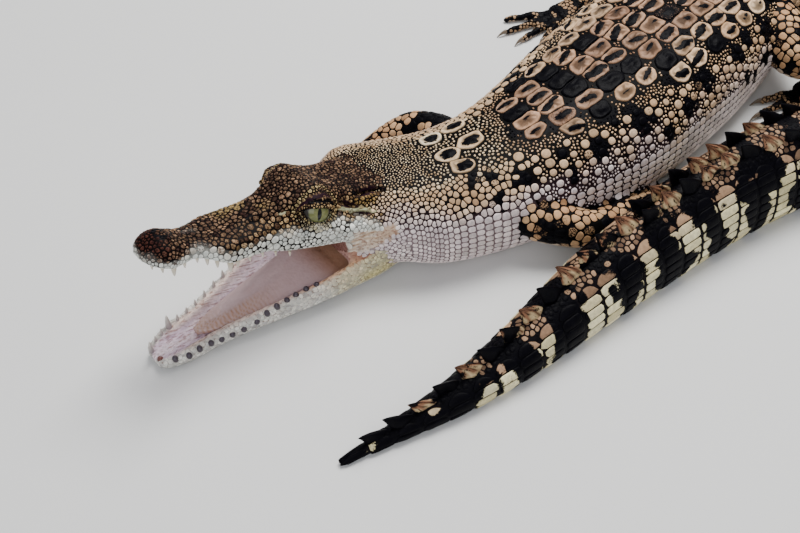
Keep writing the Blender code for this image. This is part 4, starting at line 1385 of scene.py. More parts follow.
# Blots seen on the near side: millimetres along the spine, hundredths of a half turn, radius in mm.
BLOTS = [
    (75, -3, 5.5), (71, 6, 5.0), (82, 12, 4.2), (94, 12, 5.0), (104, 3, 5.2), (101, -3, 5.0), (134, -12, 4.5),
    (137, -6, 4.5), (130, 9, 5.5), (115, 12, 4.5), (170, 3, 6.0), (152, 19, 5.5), (167, 16, 5.2),
    (141, 25, 5.0), (115, 31, 5.6), (104, 22, 4.6), (93, 31, 5.2), (115, 25, 4.0), (181, 25, 6.0),
    (185, 34, 5.0), (156, 34, 5.6), (141, 37, 4.6), (126, 40, 4.0), (189, 46, 4.0), (199, 43, 4.2),
    (49, 22, 3.0), (60, 28, 3.8), (42, 19, 2.8), (49, 34, 3.4), (79, 37, 3.0), (79, 25, 2.6),
    (97, -12, 5.0), (90, -19, 5.0), (108, -22, 5.0), (108, -12, 5.0),
]
HALF_GIRTHS = np.array([np.linalg.norm(np.diff(ring, axis=0), axis=1).sum() / 2 for ring in BODY_GRID])
BLACKEST = 1.2
DARK_JOINT, PALE_JOINT = paint(6, 4, 4), paint(52, 38, 44)
print("placed blots:", len(BLOTS))

# %% [markdown]
# Along the tail the black comes in bands that follow the whorls of the scales, with cream between
# them. On the trunk it comes in blots: placed ones where BLOTS reaches, strewn ones elsewhere.

# %% Colours of the body
WHORL_FIRST, WHORL_PITCH = 0.29, 0.0116
WHITE_PLACES = [0.0, 0.03, 0.08, 0.14, 0.27, 0.3]  # where the white's upper edge is given


def signed_turn(v):
    """From -1 to 1: nought at the top line, positive on the animal's left."""
    return np.where(v > 0.5, 2 * v - 2, 2 * v)


def half_girth(s):
    return np.interp(s, BODY_PLACES, HALF_GIRTHS)


def trunk_mark(points, s, turned, flat, low):
    """How black the neck and the trunk are, with more black towards the rear of the trunk as painted shade.
    """
    f = np.abs(turned)
    spread = np.interp(s, [0.0, 0.05, 0.08], [0.0035, 0.0042, 0.0052])
    strewn = blots(flat, np.array([0.0145, 0.0175]), spread, 21)
    placed = np.full(len(s), -1.0)
    for along, turn, radius in BLOTS:
        away = np.hypot(s - along * 0.001, (turned - turn * 0.01) * half_girth(s))
        placed = np.maximum(placed, 1 - (away / (radius * 0.001)) ** 2)
    seen = (turned > -0.24) & (s < 0.195)
    blot = np.where(seen, placed, np.where(s < 0.062, -1.0, strewn))
    # Painted shade laid on the real blots: towards the rear of the trunk the black grows fuller on the upper
    # side, for the darker rear of the body.
    shaded_rear = 0.32 * ramp_up(s, 0.2, 0.04) * (1 - ramp_up(f, 0.26, 0.1))
    torn = 0.5 * (rough(points, 0.0042, 19) - 0.5)
    fade = np.where(seen, 0.9 * ramp_up(f, 0.46, 0.1), 1.1 * ramp_up(f - low, 0.05, 0.14))
    return 0.5 + 0.9 * blot + torn + shaded_rear - fade


def tail_mark(points, s, f, flat):
    """How black the tail is: ragged bands, all of it towards the tip."""
    whorl = (s - WHORL_FIRST) / WHORL_PITCH
    wave = np.cos(2 * np.pi * (whorl / 2.45 + 0.55 * (rough(flat, 0.016, 37) - 0.5)))
    ragged = (rough(points, 0.0042, 41) - 0.5) * 1.5
    ending = ramp_up(s, 0.655, 0.05)
    return 0.5 + 0.75 * wave + ragged + 0.1 - 0.5 * ramp_up(f, 0.72, 0.2) + 1.0 * ending


def body_paint(points, s, v):
    """Tint, joint colour and mark on the neck, trunk and tail."""
    turned = signed_turn(v)
    f = np.abs(turned)
    shade = rough(points, 0.004, 5)[:, None]
    tan = mottled(points, 0.006, 9, (176, 140, 104), (224, 196, 160))
    back = mottled(points, 0.008, 11, (112, 82, 64), (184, 148, 118))
    tint = blend(ramp_up(f, 0.12, 0.12), back, tan)
    to_neck = 1 - ramp_up(s, 0.055, 0.02)
    cream = mottled(points, 0.003, 13, (178, 144, 104), (236, 220, 188))
    tint = blend(to_neck * (1 - ramp_up(f, 0.16, 0.08)), tint, cream)
    low = np.interp(s, WHITE_PLACES, [0.25, 0.27, 0.31, 0.36, 0.42, 0.75])
    white = mottled(points, 0.007, 17, (216, 204, 208), (240, 230, 228))
    belly = blend(ramp_up(f, 0.7, 0.2), white, paint(228, 219, 198))
    lower = smooth_step((f - low + 0.14 * (rough(points, 0.011, 3) - 0.5)) / 0.15)
    tint = blend(lower, tint, belly)
    joint = blend(lower, DARK_JOINT, PALE_JOINT)
    throat = lower * (1 - ramp_up(s, 0.045, 0.03)) * ramp_up(f, 0.36, 0.08)
    joint = blend(throat, joint, paint(126, 112, 116))
    tail = ramp_up(s, 0.285, 0.03)
    yellow = mottled(points, 0.005, 23, (212, 202, 152), (240, 234, 196))
    brown = mottled(points, 0.0022, 29, (62, 42, 36), (194, 160, 128))
    tint = blend(tail, tint, blend(ramp_up(f, 0.24, 0.1), brown, yellow))
    joint = blend(tail, joint, paint(16, 12, 16))
    flat = np.column_stack([s, turned * half_girth(s)])
    mark = trunk_mark(points, s, turned, flat, low) * (1 - tail) + tail_mark(points, s, f, flat) * tail
    return tint * (0.86 + 0.28 * shade), joint, np.clip(mark, 0, BLACKEST)


def mouth_corner(u, f):
    """Share and colour of the bare stretched folds behind the corners of the mouth."""
    middle = np.interp(u, [-0.02, -0.004], [0.45, 0.385])
    half = np.interp(u, [-0.02, -0.003], [0.085, 0.02])
    share = ramp_down(u, -0.002, 0.002) * smooth_step((half - np.abs(f - middle)) / 0.015)
    crease = 0.5 + 0.5 * np.sin(f * 190 + 60 * u)
    return share, blend(crease, paint(234, 228, 216), paint(204, 178, 154))


def trunk_paint(points, rows):
    """All that is painted on the body, the corners of the mouth included."""
    u, v = rows[:, ALONG], rows[:, TURN]
    tint, joint, mark = body_paint(points, u, v)
    f = np.abs(signed_turn(v))
    corner, folded = mouth_corner(u, f)
    soft = ramp_down(u, 0.004, 0.006) * ramp_up(f, 0.3, 0.03)
    return blend(corner, tint, folded), joint, np.where(corner > 0.3, 0.0, mark), corner, soft


def limb_paint(points, rows):
    """All that is painted on the legs and feet."""
    kind, u, v = rows[:, PART].astype(int), rows[:, ALONG], rows[:, TURN]
    tan = mottled(points, 0.006, 43, (168, 126, 90), (212, 176, 136))
    white = mottled(points, 0.006, 47, (196, 178, 160), (222, 206, 188))
    lower = ramp_up(np.abs(signed_turn(v)), 0.62, 0.16)
    foot = ramp_up(u, 0.4, 0.5) * (kind == ON_FOOT)
    tint = blend(foot * 0.6, blend(lower, tan, white), paint(150, 128, 104))
    joint = blend(lower, DARK_JOINT, PALE_JOINT)
    blot = blots(points, 0.0135, 0.0068, 59, 0.95)
    mark = 0.5 + 0.8 * blot + 1.2 * (rough(points, 0.0036, 48) - 0.5) - 1.0 * lower
    return tint, joint, np.clip(mark, 0, BLACKEST), *np.zeros((2, len(points)))


print("half the girth at the widest place:", round(float(HALF_GIRTHS.max()), 4))

# %% [markdown]
# Behind and below the eyes the skin is folded and bare. Each fold is a line with a width that swells
# in its middle. The slits come first, painted dark as painted shade in them, then the pale folds round them.

# %% Bare folds by the eyes
SLIT_SHADOWS = folds([
    ([(757, 131, 128), (800, 142, 109), (845, 152, 95)], 16),
    ([(795, 161, 75), (840, 172, 73), (890, 182, 72)], 13),
    ([(845, 130, 132), (912, 131, 145), (968, 140, 144)], 21),
    ([(584, 109, 110), (610, 123, 147), (651, 134, 167), (690, 134, 166), (735, 132, 139)], 12),
    ([(544, 140, 38), (585, 151, 13), (630, 163, 3)], 4),
    ([(664, 173, 22), (690, 178, 19), (715, 184, 22)], 4),
    ([(735, 179, 53), (775, 189, 50), (820, 197, 49)], 4),
])
PALE_FOLDS = folds([
    ([(752, 142, 100), (800, 152, 94), (860, 166, 86), (930, 188, 74)], 14),
    ([(590, 135, 98), (625, 152, 90), (658, 165, 83), (700, 167, 98), (745, 140, 118)], 8),
    ([(525, 86, 92), (540, 90, 97), (556, 94, 100)], 6),
])


def slit_zones(places):
    """Bare share, share of the painted shade in the slits, and pale share of the folds by the eyes."""
    shares = []
    for lines in (SLIT_SHADOWS, PALE_FOLDS):
        share = np.zeros(len(places))
        for line, width in lines:
            for away, along in on_both_sides(places, line):
                here = width * (0.35 + 2.6 * along * (1 - along))
                share = np.maximum(share, smooth_step((here - away) / 0.0005 + 0.5))
        shares.append(share)
    return np.maximum(*shares), shares[0], shares[1] * (1 - shares[0])


print("dark slits:", len(SLIT_SHADOWS), "pale folds:", len(PALE_FOLDS))

# %% [markdown]
# The cranium is ochre with brown ridges, a dark tip and pale lips. The eyes have a black edge and a
# pale lower lid. The palate is pink, and a pale fan of stretched skin closes the back of the gape. The
# deepest grooves and the nostrils are blackened as painted shade.

# %% Colours of the cranium
def crown_tint(points, place, out, up):
    """Tint, joint colour, share of the pale lips, and the mottling of the outside."""
    lip, table = ease(LIPS, place), ease(TABLE_TOPS, place)
    fine = ramp_up(rough(points, 0.0019, 61), 0.18, 0.64)
    ochre = blend(fine, paint(72, 48, 36), paint(216, 184, 132))
    ridge = blend(fine * rough(points, 0.0034, 67), paint(58, 40, 36), paint(182, 146, 120))
    high = ramp_up(up - table, -0.065, 0.05)
    tint = blend(high * 0.85, ochre, ridge)
    yellow = smooth_step((rough(points, 0.009, 71) - 0.45) * 4) * hump(place, 0.42, 0.16)
    tint = blend(0.45 * yellow, tint, paint(196, 172, 104))
    tip = ramp_down(place, 0.125, 0.07) * ramp_up(up, -0.005, 0.035)
    tint = blend(tip, tint, mottled(points, 0.004, 73, (52, 27, 25), (92, 56, 46)))
    pale = mottled(points, 0.005, 79, (206, 212, 208), (238, 240, 230))
    rise = np.interp(place, [0.0, 0.06, 0.15, 0.3, 0.45, 0.6, 0.7, 0.82, 0.92, 1.0],
                     [0.016, 0.022, 0.026, 0.034, 0.054, 0.1, 0.112, 0.098, 0.07, 0.04])
    above_lip = up - lip - rise + 0.03 * (rough(points, 0.0045, 83) - 0.5)
    lips = smooth_step(1 - above_lip / 0.03)
    tint = blend(lips, tint, pale)
    flap = hump(place, 0.88, 0.12) * hump(up, 0.116, 0.03) * ramp_up(out, 0.12, 0.02)
    tint = blend(0.8 * flap, tint, paint(176, 146, 84))
    joint = blend(lips, paint(8, 4, 4), pale * 0.4)
    cracked = ramp_up(rough(points, 0.0055, 87), 0.5, 0.12) * lips
    return tint, blend(cracked, joint, paint(30, 24, 24)), lips, fine


def crown_mark(points, places, lips):
    """How black the cranium is: a few blots, and painted shade in the bottoms of the deepest grooves and in
    the nostrils.
    """
    mark = 0.5 + 1.2 * (rough(points, 0.0065, 89) - 0.86) - 0.5 * lips
    # Painted shade: the ear slit, the slits by the eye and the nostrils are blackened.
    for line, width, height in SKULL_LINES:
        if height < -0.0014:
            for away, _ in on_both_sides(places, line):
                mark = np.maximum(mark, 1.3 - 0.8 * away / (width * 1.3))
    for away, _ in on_both_sides(places, NOSTRIL):
        mark = np.maximum(mark, 1.2 - 0.8 * away / 0.0008)
    return mark


def from_eyeball(points):
    """Distance from points to the nearer eyeball."""
    return np.minimum(*(np.linalg.norm(points - eye_axes(side)[0], axis=1) for side in (1, -1))) - EYE_RADIUS


def with_eye_rims(points, up, tint, mark, lips, fine):
    """Tint and mark with the black edge of the lids, their pale rim and the pale lower lid."""
    from_eye = from_eyeball(points)
    rim = hump(from_eye, 0.0016, 0.0007) * (1 - lips)
    tint = blend(0.8 * rim, tint, paint(206, 188, 134))
    mark = np.maximum(mark * (1 - rim), 1.0 - 0.5 * np.maximum(from_eye, 0) / 0.0007)
    below_eye = smooth_step((to_skull(eye_axes(1)[0][None])[0, 2] - 0.008 - up) / 0.016)
    lower_lid = below_eye * ramp_up(from_eye, 0.0002, 0.0004) * ramp_down(from_eye, 0.0026, 0.0008)
    tint = blend(0.9 * lower_lid, tint, blend(fine, paint(186, 176, 140), paint(228, 222, 198)))
    return tint, mark * (1 - lower_lid)


def skull_paint(points, _):
    """All that is painted on the cranium, outside and on the palate."""
    places = to_skull(points)
    place, out, up = places[:, 0], np.abs(places[:, 1]), places[:, 2]
    edge, lip = ease(SNOUT_WIDTHS, place), ease(LIPS, place)
    tint, joint, lips, fine = crown_tint(points, place, out, up)
    tint, mark = with_eye_rims(points, up, tint, crown_mark(points, places, lips), lips, fine)
    slit, slit_shadow, pale_fold = slit_zones(places)
    tint = blend(pale_fold, tint, mottled(points, 0.003, 90, (140, 146, 112), (196, 198, 164)))
    mark = np.where(pale_fold > 0.3, 0.0, mark)
    # Painted shade: the slits behind and below the eyes are laid in dark purple.
    tint = blend(slit_shadow, tint, paint(36, 18, 30))
    inside = smooth_step((edge - 0.022 - out) / 0.012) * smooth_step((lip + 0.014 - up) / 0.008)
    roof = mottled(points, 0.006, 97, (196, 160, 158), (222, 196, 190))
    deep = ramp_up(place, 0.62, 0.25)
    roof = blend(deep, roof, paint(120, 78, 66))
    tint, joint = blend(inside, tint, roof), blend(inside, joint, roof)
    fan = ramp_up(place, 0.79, 0.03) * ramp_down(up, 0.026, 0.012) * ramp_up(out, 0.14, 0.02)
    rays = 0.5 + 0.5 * np.sin((up + 0.07) / (place - 0.66) * 60)
    tint = blend(fan * (1 - inside), tint, blend(rays, paint(236, 230, 216), paint(204, 176, 148)))
    mark = mark * (1 - fan)
    bare = np.maximum(np.maximum(inside, slit), fan)
    mark = np.where((inside > 0.3) | (slit_shadow > 0.5), 0.0, mark)
    return tint, joint, np.clip(mark, 0, BLACKEST), bare, lips


print("lines on the cranium:", len(SKULL_LINES))

# %% [markdown]
# The lower jaw is nearly white outside, with olive towards its corner. Inside the mouth it is lavender
# in front and brown at the back, and its rim is edged with orange.

# %% Colours of the lower jaw
def jaw_paint(points, _):
    """All that is painted on the lower jaw, outside and in the mouth."""
    places = to_jaw(points)
    place, out, up = places[:, 0], np.abs(places[:, 1]), places[:, 2]
    wide = ease(JAW_WIDTHS, place)
    pale = mottled(points, 0.006, 101, (218, 220, 214), (240, 238, 230))
    olive = ramp_up(place, 0.62, 0.2) * ramp_up(up, -0.135, 0.05) * (0.45 + 0.55 * rough(points, 0.008, 103))
    tint = blend(0.85 * olive, pale, paint(196, 184, 106))
    joint = tint * 0.76
    fleck = ramp_up(rough(points, 0.0016, 105), 0.6, 0.1)
    tint = blend(0.45 * fleck, tint, paint(120, 116, 126))
    inner = smooth_step((wide - 0.026 - out) / 0.014) * ramp_up(up - ease(JAW_FLOORS, place), -0.02, 0.01)
    long = np.column_stack([place * 9, out * 75, up * 75])
    lavender = blend(rough(long, 1.0, 107), paint(206, 184, 206), paint(240, 228, 234))
    deep = ramp_up(place, 0.66, 0.2)
    wall = blend(deep, lavender, mottled(points, 0.006, 109, (150, 106, 90), (192, 146, 122)))
    tint, joint = blend(inner, tint, wall), blend(inner, joint, wall)
    margin = hump(out - wide, -0.04, 0.028) * ramp_down(place, 0.86, 0.06)
    margin = margin * smooth_step((up - ease(JAW_FLOORS, place)) / 0.02)
    orange = ramp_up(place, 0.5, 0.16)
    tint = blend(0.85 * margin, tint, blend(orange, paint(240, 222, 206), paint(230, 190, 146)))
    bare = np.maximum(inner, margin * (out < wide - 0.018))
    return tint, joint, np.zeros(len(out)), bare, np.ones(len(out))


PAINTERS = {(ON_BODY,): trunk_paint, (ON_LEG, ON_FOOT): limb_paint,
            (ON_SKULL,): skull_paint, (ON_JAW,): jaw_paint}


def painted(points, rows):
    """Tint, joint colour, mark, bareness and softness at points with their sample rows."""
    tint, joint = np.zeros((2, len(points), 3))
    mark, bare, soft = np.zeros((3, len(points)))
    for parts, painter in PAINTERS.items():
        at = np.isin(rows[:, PART], parts)
        tint[at], joint[at], mark[at], bare[at], soft[at] = painter(points[at], rows[at])
    return tint, joint, mark, bare, soft


skin_tint, skin_joint, skin_mark, skin_bare, skin_soft = painted(skin_points, skin_rows)
print("black share of the skin:", round(float((skin_mark > 0.5).mean()), 3))

# %% [markdown]
# The crest of the tail is a double row of upright flaps that draw together and go on as one row. Each
# flap is a thin triangular fin that leans towards the tip of the tail.

# %% Crest of the tail
CREST_JOINS = 0.578
CREST_HEIGHTS = curve([280, 360, 450, 560, 620, 690, 740], [36, 46, 62, 82, 84, 50, 18], FINE)
FLAP_LEVELS = np.linspace(0, 1, 12)
FLAP_SIDES = 20
FLAP_ROOT = 0.0022  # how far a flap starts under the skin


def body_top(s, offset):
    """Height of the body's surface at an offset from its middle."""
    half, top, bottom = ease(HALF_WIDTHS, s), ease(TOPS, s), ease(BOTTOMS, s)
    middle = bottom + 0.5 * (top - bottom)
    share = min(0.98, abs(offset) / half)
    power = ease(UPPER_POWERS, s)
    return middle + (top - middle) * (1 - share**power) ** (1 / power)


def flap_rings(start, offset, height, wave):
    """Sections of one flap, from under the skin up to its tip."""
    rings = []
    base = body_top(start, offset) - FLAP_ROOT
    turn = turns(FLAP_SIDES)
    for t in FLAP_LEVELS:
        front = 1.16 * t**1.7
        rear = 0.98 + 0.34 * t - 0.06 * t**3
        middle, half = 0.5 * (front + rear), 0.5 * (rear - front) + 0.01
        along = start + WHORL_PITCH * (middle + half * np.cos(turn) * (1 - 0.2 * t))
        thick = 0.0016 * (1 - t) ** 0.7 + 0.00022
        across = thick * np.sin(turn) * (1 + 0.28 * np.cos(turn * 4 + wave + 5 * t))
        up = base + (height + FLAP_ROOT) * t
        bend = offset * (1 + 0.1 * t) + 0.0005 * math.sin(wave + 3 * t)
        point, left = spine_at(np.clip(along, 0, LENGTH))
        lean = ease(LEANS, start) * up / ease(TOPS, start)
        plan = point + left * (bend + across + lean)[:, None]
        rings.append(slice_at(*plan.T, up))
    return rings


def crest_flaps():
    """(points, faces), tints and middles for every flap of the crest."""
    parts, tints = [], []
    for k in range(int((LENGTH - WHORL_FIRST) / WHORL_PITCH) - 1):
        s = WHORL_FIRST + k * WHORL_PITCH
        apart = max(0.62 * ease(HALF_WIDTHS, s) * min(1.0, (CREST_JOINS - s) / 0.16), 0.0032)
        for side in (1, -1) if s < CREST_JOINS else (0,):
            wave = 1.7 * k + side
            height = ease(CREST_HEIGHTS, s) * (1 + 0.1 * math.sin(2.3 * k + side))
            parts.append(tube(flap_rings(s, side * apart, height, wave)))
            level = np.repeat(FLAP_LEVELS, FLAP_SIDES)
            around = np.tile(np.cos(turns(FLAP_SIDES)), len(FLAP_LEVELS))
            streak = 0.5 + 0.5 * np.sin(around * 9 + wave + 4 * level)
            brown = blend(streak, paint(72, 44, 34), paint(164, 120, 92))
            cream = smooth_step((0.42 - level + 0.3 * np.sin(around * 7 + wave)) / 0.25)
            shade = blend(0.8 * cream, brown, paint(216, 196, 152))
            shade = blend(0.5 * ramp_up(level, 0.6, 0.4), shade, paint(30, 20, 20))
            flap_points = parts[-1][0][: len(level)]
            along = np.full(len(level), s + 0.5 * WHORL_PITCH)
            _, _, mark = body_paint(flap_points, along, np.full(len(level), 0.1))
            torn = 0.34 + 0.2 * np.sin(around * 11 + 2 * wave + 6 * level)
            mark = np.clip(np.maximum(mark - 0.1, torn) + 0.1 * level, 0, 1)
            shade = np.column_stack([shade, mark])
            tints.append(np.vstack([shade, shade[:1], shade[-1:]]))
    return parts, tints


flap_parts, flap_tints = crest_flaps()
print("crest flaps:", len(flap_parts))

# %% [markdown]
# The scales start as seeds: a place on the skin, a half-length, a half-width and a kind. The back has
# rows of keeled scutes, the nape six great shields, the belly square plates and the tail whorls of
# stacked blocks, all laid out on the body's own rows and turns. The rest is filled with seeds that
# keep a distance from each other: rounded flank scales with fine grains between them, cracked plates
# on the head and lapped ones on the legs.

# %% Seeds in rows
SCUTE, ROUND, PLATE, BLOCK, GRAIN, CRACKED, SOFT = range(7)


def on_body(s, f):
    """Places on the body's grid for distances and signed turns."""
    s, f = np.broadcast_arrays(np.asarray(s, float), np.asarray(f, float))
    row = (s - BODY_PLACES[0]) / (BODY_PLACES[1] - BODY_PLACES[0])
    column = (np.where(f < 0, f + 2, f) / 2 % 1.0) * BODY_COLUMNS
    i = np.clip(row.astype(int), 0, BODY_ROWS - 2)
    j = column.astype(int) % BODY_COLUMNS
    a, b = (row - i)[:, None], (column - np.floor(column))[:, None]
    k = (j + 1) % BODY_COLUMNS
    near = BODY_GRID[i, j] * (1 - b) + BODY_GRID[i, k] * b
    far = BODY_GRID[i + 1, j] * (1 - b) + BODY_GRID[i + 1, k] * b
    return near * (1 - a) + far * a


ROW_PITCH = 0.0144
ROWS_START, ROWS_END = 0.075, 0.288
NECK_END = 0.066
BACK_LIMIT = ([0.06, 0.075, 0.1, 0.16, 0.23, 0.29], [0.13, 0.17, 0.2, 0.29, 0.29, 0.24])
SCUTE_TURN = 0.074
# Great shields of the nape: distance, signed turn, half-length and half-width.
SHIELDS = [
    (0.0367, 0.014, 0.0066, 0.0047), (0.0496, -0.018, 0.007, 0.0056), (0.0405, 0.112, 0.0066, 0.0042),
    (0.0335, -0.135, 0.006, 0.0048), (0.0475, -0.17, 0.0064, 0.0048),
]
WHITE_FROM = (WHITE_PLACES, [0.34, 0.36, 0.44, 0.45, 0.49, 0.55])
row_seeds = []  # each: s, f, half-length, half-width, kind


def add_pair(s, f, half_long, half_wide, kind):
    row_seeds.append((s, f, half_long, half_wide, kind))
    row_seeds.append((s, -f, half_long, half_wide, kind))


def chances(number, k):
    """Four steady random numbers for the scale k in a row."""
    return [hashed(np.array([[number, k]]), seed)[0] for seed in (5, 6, 7, 8)]


def lay_back():
    """Transverse rows of scutes, the outer ones smaller."""
    for number, s in enumerate(np.arange(ROWS_START, ROWS_END, ROW_PITCH)):
        limit = np.interp(s, *BACK_LIMIT)
        turn = 0.5 * SCUTE_TURN
        k = 0
        while turn < limit:
            width = 0.52 * SCUTE_TURN * half_girth(s)
            last = turn + SCUTE_TURN >= limit
            for side in (1, -1):
                first, second, third, _ = chances(number, 40 + k + 20 * side)
                shrink = (0.86 if last else 0.98) + 0.08 * first
                row_seeds.append((s + 0.0011 * (second - 0.5), side * (turn + 0.006 * (third - 0.5)),
                                  0.0071 * shrink, width * shrink, SCUTE))
            turn += SCUTE_TURN
            k += 1


def lay_nape():
    for s, f, half_long, half_wide in SHIELDS:
        row_seeds.append((s, f, half_long, half_wide, SCUTE))


def lay_belly():
    """Square plates in rows across the belly and up the flanks to the white's edge."""
    s = 0.004
    number = 0
    while s < 0.284:
        start = np.interp(s, *WHITE_FROM)
        pitch = np.interp(s, [0.0, 0.04, 0.08], [0.0024, 0.0032, 0.004])
        count = round((1 - start) * half_girth(s) / pitch)
        step = (1 - start) / count
        shift = 0.25 * step * (number % 2) * (s < 0.075)
        for k in range(count):
            turn = start + step * (k + 0.5) + shift
            if turn < 0.995:
                add_pair(s, turn, 0.55 * pitch, 0.54 * pitch, PLATE)
        s += pitch * 1.05
        number += 1


def lay_flank():
    """Rounded scales in staggered rows between the back and the white."""
    for number, s in enumerate(np.arange(0.062, 0.284, 0.0052)):
        top = np.interp(s, BACK_LIMIT[0], [0.15, 0.2, 0.22, 0.31, 0.31, 0.27])
        end = np.interp(s, *WHITE_FROM) - 0.008
        turn = top + 0.0026 * (1 + number % 2) / half_girth(s)
        k = 0
        while turn < end:
            share = (turn - top) / (end - top)
            pitch = (0.0054 - 0.0015 * share) / half_girth(s)
            for side in (1, -1):
                first, second, third, fourth = chances(number, k + 60 * side)
                size = (0.00245 - 0.00062 * share) * (0.76 + 0.34 * first)
                row_seeds.append((s + 0.0016 * (second - 0.5), side * (turn + 0.36 * pitch * (third - 0.5)),
                                  size * (0.95 + 0.22 * fourth), size, ROUND))
            turn += pitch
            k += 1


def lay_tail():
    """Whorls of blocks from the crest down to the underside."""
    for s in np.arange(WHORL_FIRST + 0.5 * WHORL_PITCH, LENGTH - 0.006, WHORL_PITCH):
        start = np.interp(s, [0.29, 0.4, 0.55, 0.7], [0.27, 0.25, 0.17, 0.14])
        count = max(2, round((1 - start) * half_girth(s) / 0.0047))
        step = (1 - start) / count
        for k in range(count):
            turn = start + step * (k + 0.5)
            half_wide = 0.53 * step * half_girth(s)
            add_pair(s, min(turn, 0.998), 0.53 * WHORL_PITCH, half_wide, BLOCK)


lay_back()
lay_nape()
lay_belly()
lay_flank()
lay_tail()
row_seeds = np.array(row_seeds)
print("seeds in rows:", len(row_seeds))

# %% [markdown]
# The seeds of the rows are moved onto the skin, and of two that nearly coincide the later one goes.

# %% Seeds on the skin
class Seeds:
    """Seeds of scales, one array for each property."""

    def __init__(self, place, normal, rows, half_long, half_wide, kind):
        self.place, self.normal, self.rows = place, normal, rows
        self.half_long, self.half_wide, self.kind = half_long, half_wide, kind

    def taken(self, chosen):
        return Seeds(*(part[chosen] for part in self.parts()))

    def parts(self):
        return self.place, self.normal, self.rows, self.half_long, self.half_wide, self.kind

    def with_more(self, other):
        return Seeds(*(np.concatenate(pair) for pair in zip(self.parts(), other.parts())))


SEAT_DEPTH = 0.0016  # a seed that would have to move further than this is left out


def seated(points, rows, half_long, half_wide, kind):
    """Seeds moved onto the skin. Those that lie too deep under it are left out."""
    hits = [skin_tree.find_nearest(p) for p in points]
    place = np.array([hit[0] for hit in hits])
    face = np.array([hit[2] for hit in hits])
    normal = unit(skin_normals[triangles[face]].mean(1))
    own = triangle_rows[face, PART] == rows[:, PART]
    good = own & (np.linalg.norm(place - points, axis=1) < SEAT_DEPTH)
    return Seeds(place, normal, rows, half_long, half_wide, kind).taken(good)


def body_rows(s, f):
    """Sample rows, as the cloud gives them, for places on the body."""
    points = on_body(s, f)
    lie = unit(on_body(np.minimum(s + 0.003, LENGTH - 0.001), f) - on_body(s - 0.003, f))
    zero = np.zeros(len(points))
    turn = np.where(f < 0, f + 2, f) / 2
    return np.column_stack([points, zero + ON_BODY, zero, s, turn, lie])


def tangent_axes(seeds):
    """Directions towards the tail and to the side, in the skin at each seed."""
    lie = seeds.rows[:, LIE]
    along = unit(lie - (lie * seeds.normal).sum(1)[:, None] * seeds.normal, TINY)
    return along, np.cross(seeds.normal, along)


s, f, half_long, half_wide, kind = row_seeds.T
seeds = seated(on_body(s, f), body_rows(s, f), half_long, half_wide, kind.astype(int))


def crowded(seeds):
    """Marks each seed that lies almost on top of an earlier one."""
    tree = tree_of(seeds.place)
    size = np.minimum(seeds.half_long, seeds.half_wide)
    dropped = np.zeros(len(size), bool)
    for index, place in enumerate(seeds.place):
        if not dropped[index]:
            for _, other, away in tree.find_range(place, 1.2 * size[index]):
                dropped[other] |= other > index and away < 0.6 * (size[index] + size[other])
    return dropped


seeds = seeds.taken(~crowded(seeds))
print("seated in rows:", len(seeds.kind))

# %% [markdown]
# The filling seeds are thrown like darts. A target size is known at every place. A dart that lands
# nearer to an older seed than their two sizes allow is dropped. The throws come from one seeded
# generator, so each run gives the same coat.

# %% Seeds that fill the rest
def fill_radius(points, face):
    """Target radius and kind of the filling scales at points on faces of the skin."""
    rows, first = triangle_rows[face], triangles[face, 0]
    bare, soft = skin_bare[first], skin_soft[first]
    region, u, v = rows[:, PART].astype(int), rows[:, ALONG], rows[:, TURN]
    f = np.abs(signed_turn(v))
    radius, kind = np.full(len(points), 0.0008), np.full(len(points), GRAIN)
    body = region == ON_BODY
    side = np.interp(f, [0.0, 0.12, 0.2, 0.27, 0.36], [0.00078, 0.0008, 0.00115, 0.00135, 0.0014])
    neck = body & (u < NECK_END)
    radius = np.where(neck, side * np.interp(u, [-0.01, 0.02, 0.04], [0.58, 0.74, 1.0]), radius)
    kind = np.where(neck & (f > 0.16), PLATE, kind)
    kind = np.where(neck & (soft > 0.5), SOFT, kind)
    radius = np.where(body & (u > NECK_END), 0.00072, radius)
    chance = hashed(np.round(points * 40000), 117)
    among = body & (u > 0.07) & (u < WHORL_FIRST) & (f < np.interp(u, *BACK_LIMIT) - 0.01)
    bare = np.where(among & (chance > 0.35), 1.0, bare)
    radius = np.where(body & (u > WHORL_FIRST), 0.00105, radius)
    kind = np.where(body & (u > WHORL_FIRST), PLATE, kind)
    leg, foot = region == ON_LEG, region == ON_FOOT
    radius = np.where(leg, np.interp(u, [0, 0.5, 1], [0.0018, 0.0017, 0.0013]), radius)
    radius = np.where(foot, np.where(u > 1, 0.00085, 0.0011), radius)
    kind = np.where(leg | foot, PLATE, kind)
    skull = region == ON_SKULL
    place = to_skull(points)[:, 0]
    plate = np.interp(place, [0.0, 0.12, 0.2, 0.45, 0.6, 0.75, 1.0], [0.7, 0.8, 1.05, 1.1, 0.85, 0.9, 0.75])
    plate = plate * (0.66 + 0.75 * chance**1.5) * (0.85 + 0.3 * rough(points, 0.007, 113))
    plate = plate * (1 + 0.1 * soft)
    plate = plate * (1 - 0.4 * smooth_step(1 - from_eyeball(points) / EYE_ZONE))
    radius = np.where(skull, plate * 0.001, radius)
    jaw = region == ON_JAW
    radius = np.where(jaw, (0.66 + 0.34 * chance) * 0.001, radius)
    kind = np.where(skull | jaw, np.where(soft > 0.5, SOFT, CRACKED), kind)
    return np.where(bare > 0.35, np.nan, radius), kind


